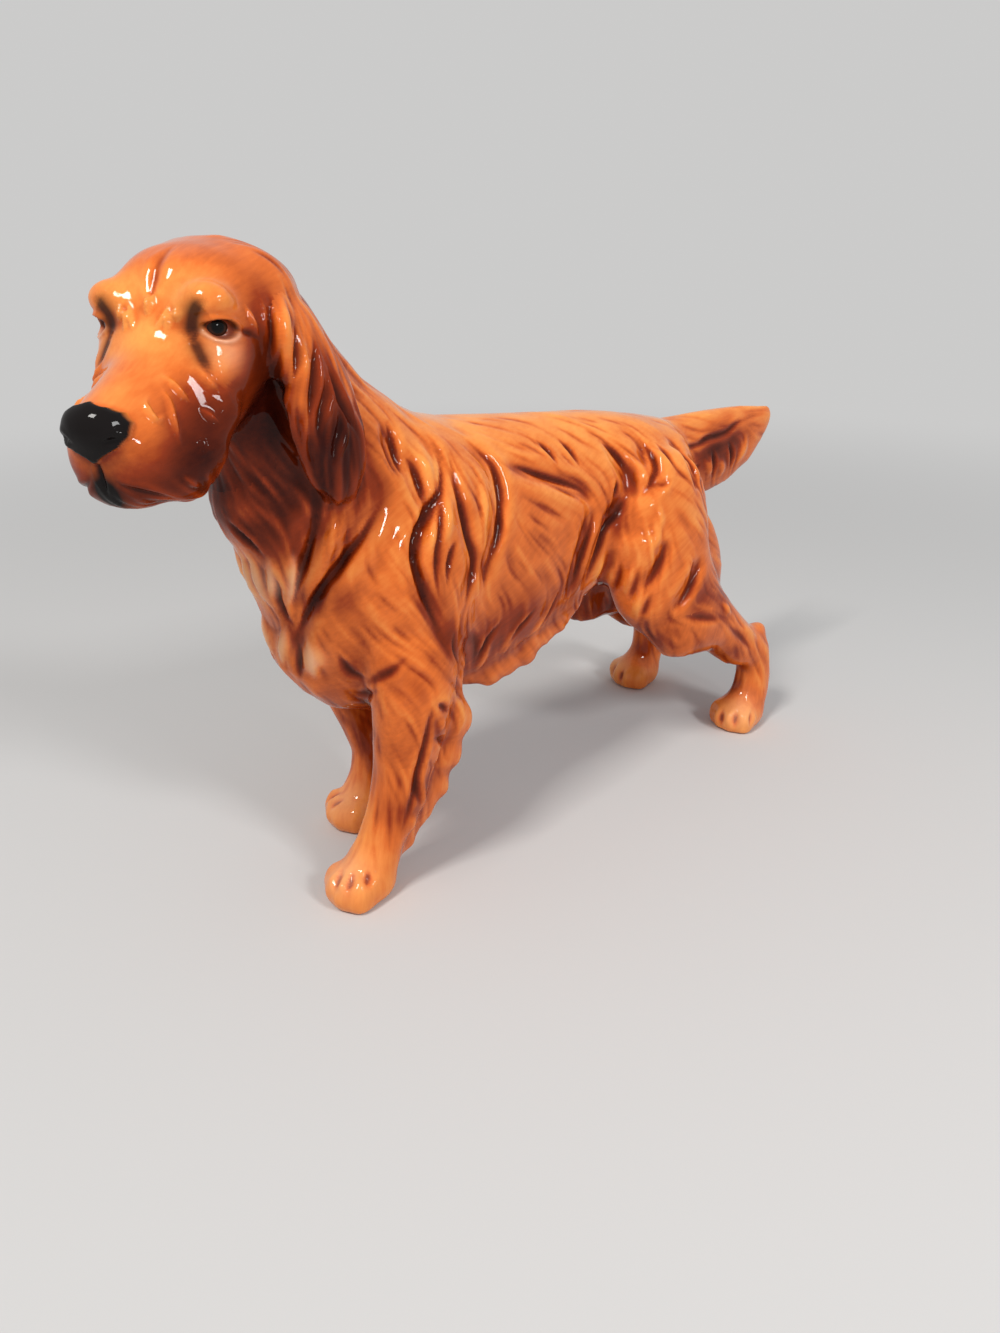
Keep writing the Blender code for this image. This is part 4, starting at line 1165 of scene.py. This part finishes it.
def eye_paint():
    """Rings of colour around the pupil, under gloss."""
    material, shader = new_paint("eye_glaze", {"Specular IOR Level": 0.0, "Coat Weight": 0.6,
                                               "Coat IOR": COAT_IOR, "Coat Roughness": 0.02})
    start = Tone(material.node_tree)
    ring = start.node("ShaderNodeAttribute", {"attribute_name": "ring"}, out=2)
    colour = start.node("ShaderNodeValToRGB", {"stops": IRIS_COLOURS}, {"Fac": ring})
    material.node_tree.links.new(colour.socket, shader.inputs["Base Color"])
    return material


eye_glaze = eye_paint()
for side, hand in ((1, "left"), (-1, "right")):
    middle, out, long, high = eye_axes(side)
    middle = middle - out * (EYE_BALL - EYE_PROUD)
    turn = Matrix(np.stack([long, high, out], axis=1).tolist()).to_4x4()
    ball = bmesh.new()
    bmesh.ops.create_uvsphere(ball, u_segments=48, v_segments=32, radius=EYE_BALL * MM)
    bmesh.ops.bisect_plane(ball, geom=ball.verts[:] + ball.edges[:] + ball.faces[:],
                           plane_co=(0, 0, EYE_CUT * MM), plane_no=(0, 0, -1), clear_outer=True)
    bmesh.ops.holes_fill(ball, edges=[e for e in ball.edges if e.is_boundary], sides=0)
    ring = ball.verts.layers.float.new("ring")
    for v in ball.verts:
        v[ring] = math.hypot(v.co.x - PUPIL_SIDE * MM, v.co.y - PUPIL_UP * MM) / (IRIS_REACH * MM)
    bmesh.ops.transform(ball, matrix=Matrix.Translation(Vector(middle) * MM) @ turn, verts=ball.verts)
    bmesh.ops.recalc_face_normals(ball, faces=ball.faces)
    eye = as_object("eye_" + hand, ball)
    eye.data.shade_smooth()
    eye.data.materials.append(eye_glaze)
    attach(eye, "root")
    print("eye", hand, "at", middle.round(1))

# %% [markdown]
# ## Floor, light and camera
# The figure stands on a pale floor that fades into an equally pale surround, so no horizon shows. To
# the camera and to reflections the surround is that pale grey. As a light it is a plain dim sky, and two
# soft lamps do the rest. A third, tiny one stands where the eye mirrors it into the camera. The camera
# stands where the photograph was taken.

# %% Floor and surround
BACKDROP = (0.60, 0.597, 0.592, 1.0)
FLOOR = (0.62, 0.617, 0.612, 1.0)
FLOOR_SIZE = 4.0
FADE_START = 0.16
FADE_END = 0.6
SKY = (0.97, 0.98, 1.0, 1.0)
SKY_STRENGTH = 0.42


def shown(start):
    """1 for rays from the camera and for mirrored or clear ones, else 0."""
    rays = [start.node("ShaderNodeLightPath", out=name)
            for name in ("Is Camera Ray", "Is Glossy Ray", "Is Transmission Ray")]
    return rays[0].maths("MAXIMUM", rays[0].maths("MAXIMUM", rays[0], rays[1]), rays[2])


def floor_paint():
    """A dull pale floor that turns into the surround further out."""
    material, shader = new_paint("floor_paint", {"Base Color": FLOOR, "Roughness": 0.9,
                                                 "Specular IOR Level": 0.0})
    tree = material.node_tree
    start = Tone(tree)
    place = start.node("ShaderNodeTexCoord", out=3)
    away = start.node("ShaderNodeVectorMath", {"operation": "LENGTH"}, {0: place}, out=1)
    fade = start.node("ShaderNodeMapRange", {"interpolation_type": "SMOOTHSTEP"},
                      {0: away, 1: FADE_START, 2: FADE_END})
    glow = start.node("ShaderNodeEmission", {}, {"Color": BACKDROP, "Strength": 1.0})
    mixed = start.node("ShaderNodeMixShader", {}, {0: fade * shown(start), 2: glow})
    tree.links.new(shader.outputs[0], mixed.socket.node.inputs[1])
    tree.links.new(mixed.socket, tree.nodes["Material Output"].inputs["Surface"])
    return material


ground = bmesh.new()
bmesh.ops.create_grid(ground, x_segments=1, y_segments=1, size=FLOOR_SIZE)
floor = as_object("floor", ground)
floor.data.materials.append(floor_paint())

world = bpy.data.worlds.new("surround")
world.use_nodes = True
sky = Tone(world.node_tree)
light = sky.node("ShaderNodeBackground", {}, {"Color": SKY, "Strength": SKY_STRENGTH})
pale = sky.node("ShaderNodeBackground", {}, {"Color": BACKDROP, "Strength": 1.0})
both = sky.node("ShaderNodeMixShader", {}, {0: shown(sky), 1: light, 2: pale})
world.node_tree.links.new(both.socket, world.node_tree.nodes["World Output"].inputs["Surface"])
bpy.context.scene.world = world
print("floor and surround ready")

# %% Lamps
LAMP_AIM = Vector((0, 0, 0.06))
SPARK_TILT = 0.2
SPARK_AWAY = 0.35


def soft_lamp(name, place, size, power, colour=(1.0, 1.0, 1.0)):
    """A square lamp that looks at the middle of the figure."""
    lamp = bpy.data.lights.new(name, "AREA")
    lamp.shape = "SQUARE"
    lamp.size = size
    lamp.energy = power
    lamp.color = colour
    obj = bpy.data.objects.new(name, lamp)
    bpy.context.collection.objects.link(obj)
    obj.location = place
    obj.rotation_euler = (LAMP_AIM - obj.location).to_track_quat("-Z", "Y").to_euler()


soft_lamp("key", (0.12, -0.55, 0.80), 0.19, 5.0, (1.0, 0.97, 0.93))
soft_lamp("fill", (0.75, 0.05, 0.60), 0.17, 2.8)

eye_place, eye_out, _, eye_high = eye_axes(1)
to_camera = np.array(CAMERA_PLACE) / MM - eye_place
to_camera /= np.linalg.norm(to_camera)
mirror = eye_out + SPARK_TILT * eye_high
mirror /= np.linalg.norm(mirror)
spark_ray = 2 * (mirror @ to_camera) * mirror - to_camera
spark = Vector(eye_place) * MM + Vector(spark_ray) * SPARK_AWAY
soft_lamp("spark", spark, 0.03, 0.12)
print("lit, with the spark lamp at", spark)

# %% Camera
camera = bpy.data.cameras.new("camera")
camera.lens = 27.0
camera.clip_start = 0.005
view = bpy.data.objects.new("camera", camera)
bpy.context.collection.objects.link(view)
view.location = CAMERA_PLACE
view.rotation_euler = CAMERA_TURN
bpy.context.scene.camera = view
bpy.context.scene.view_settings.view_transform = "Standard"
print("camera with a", camera.lens, "mm lens")
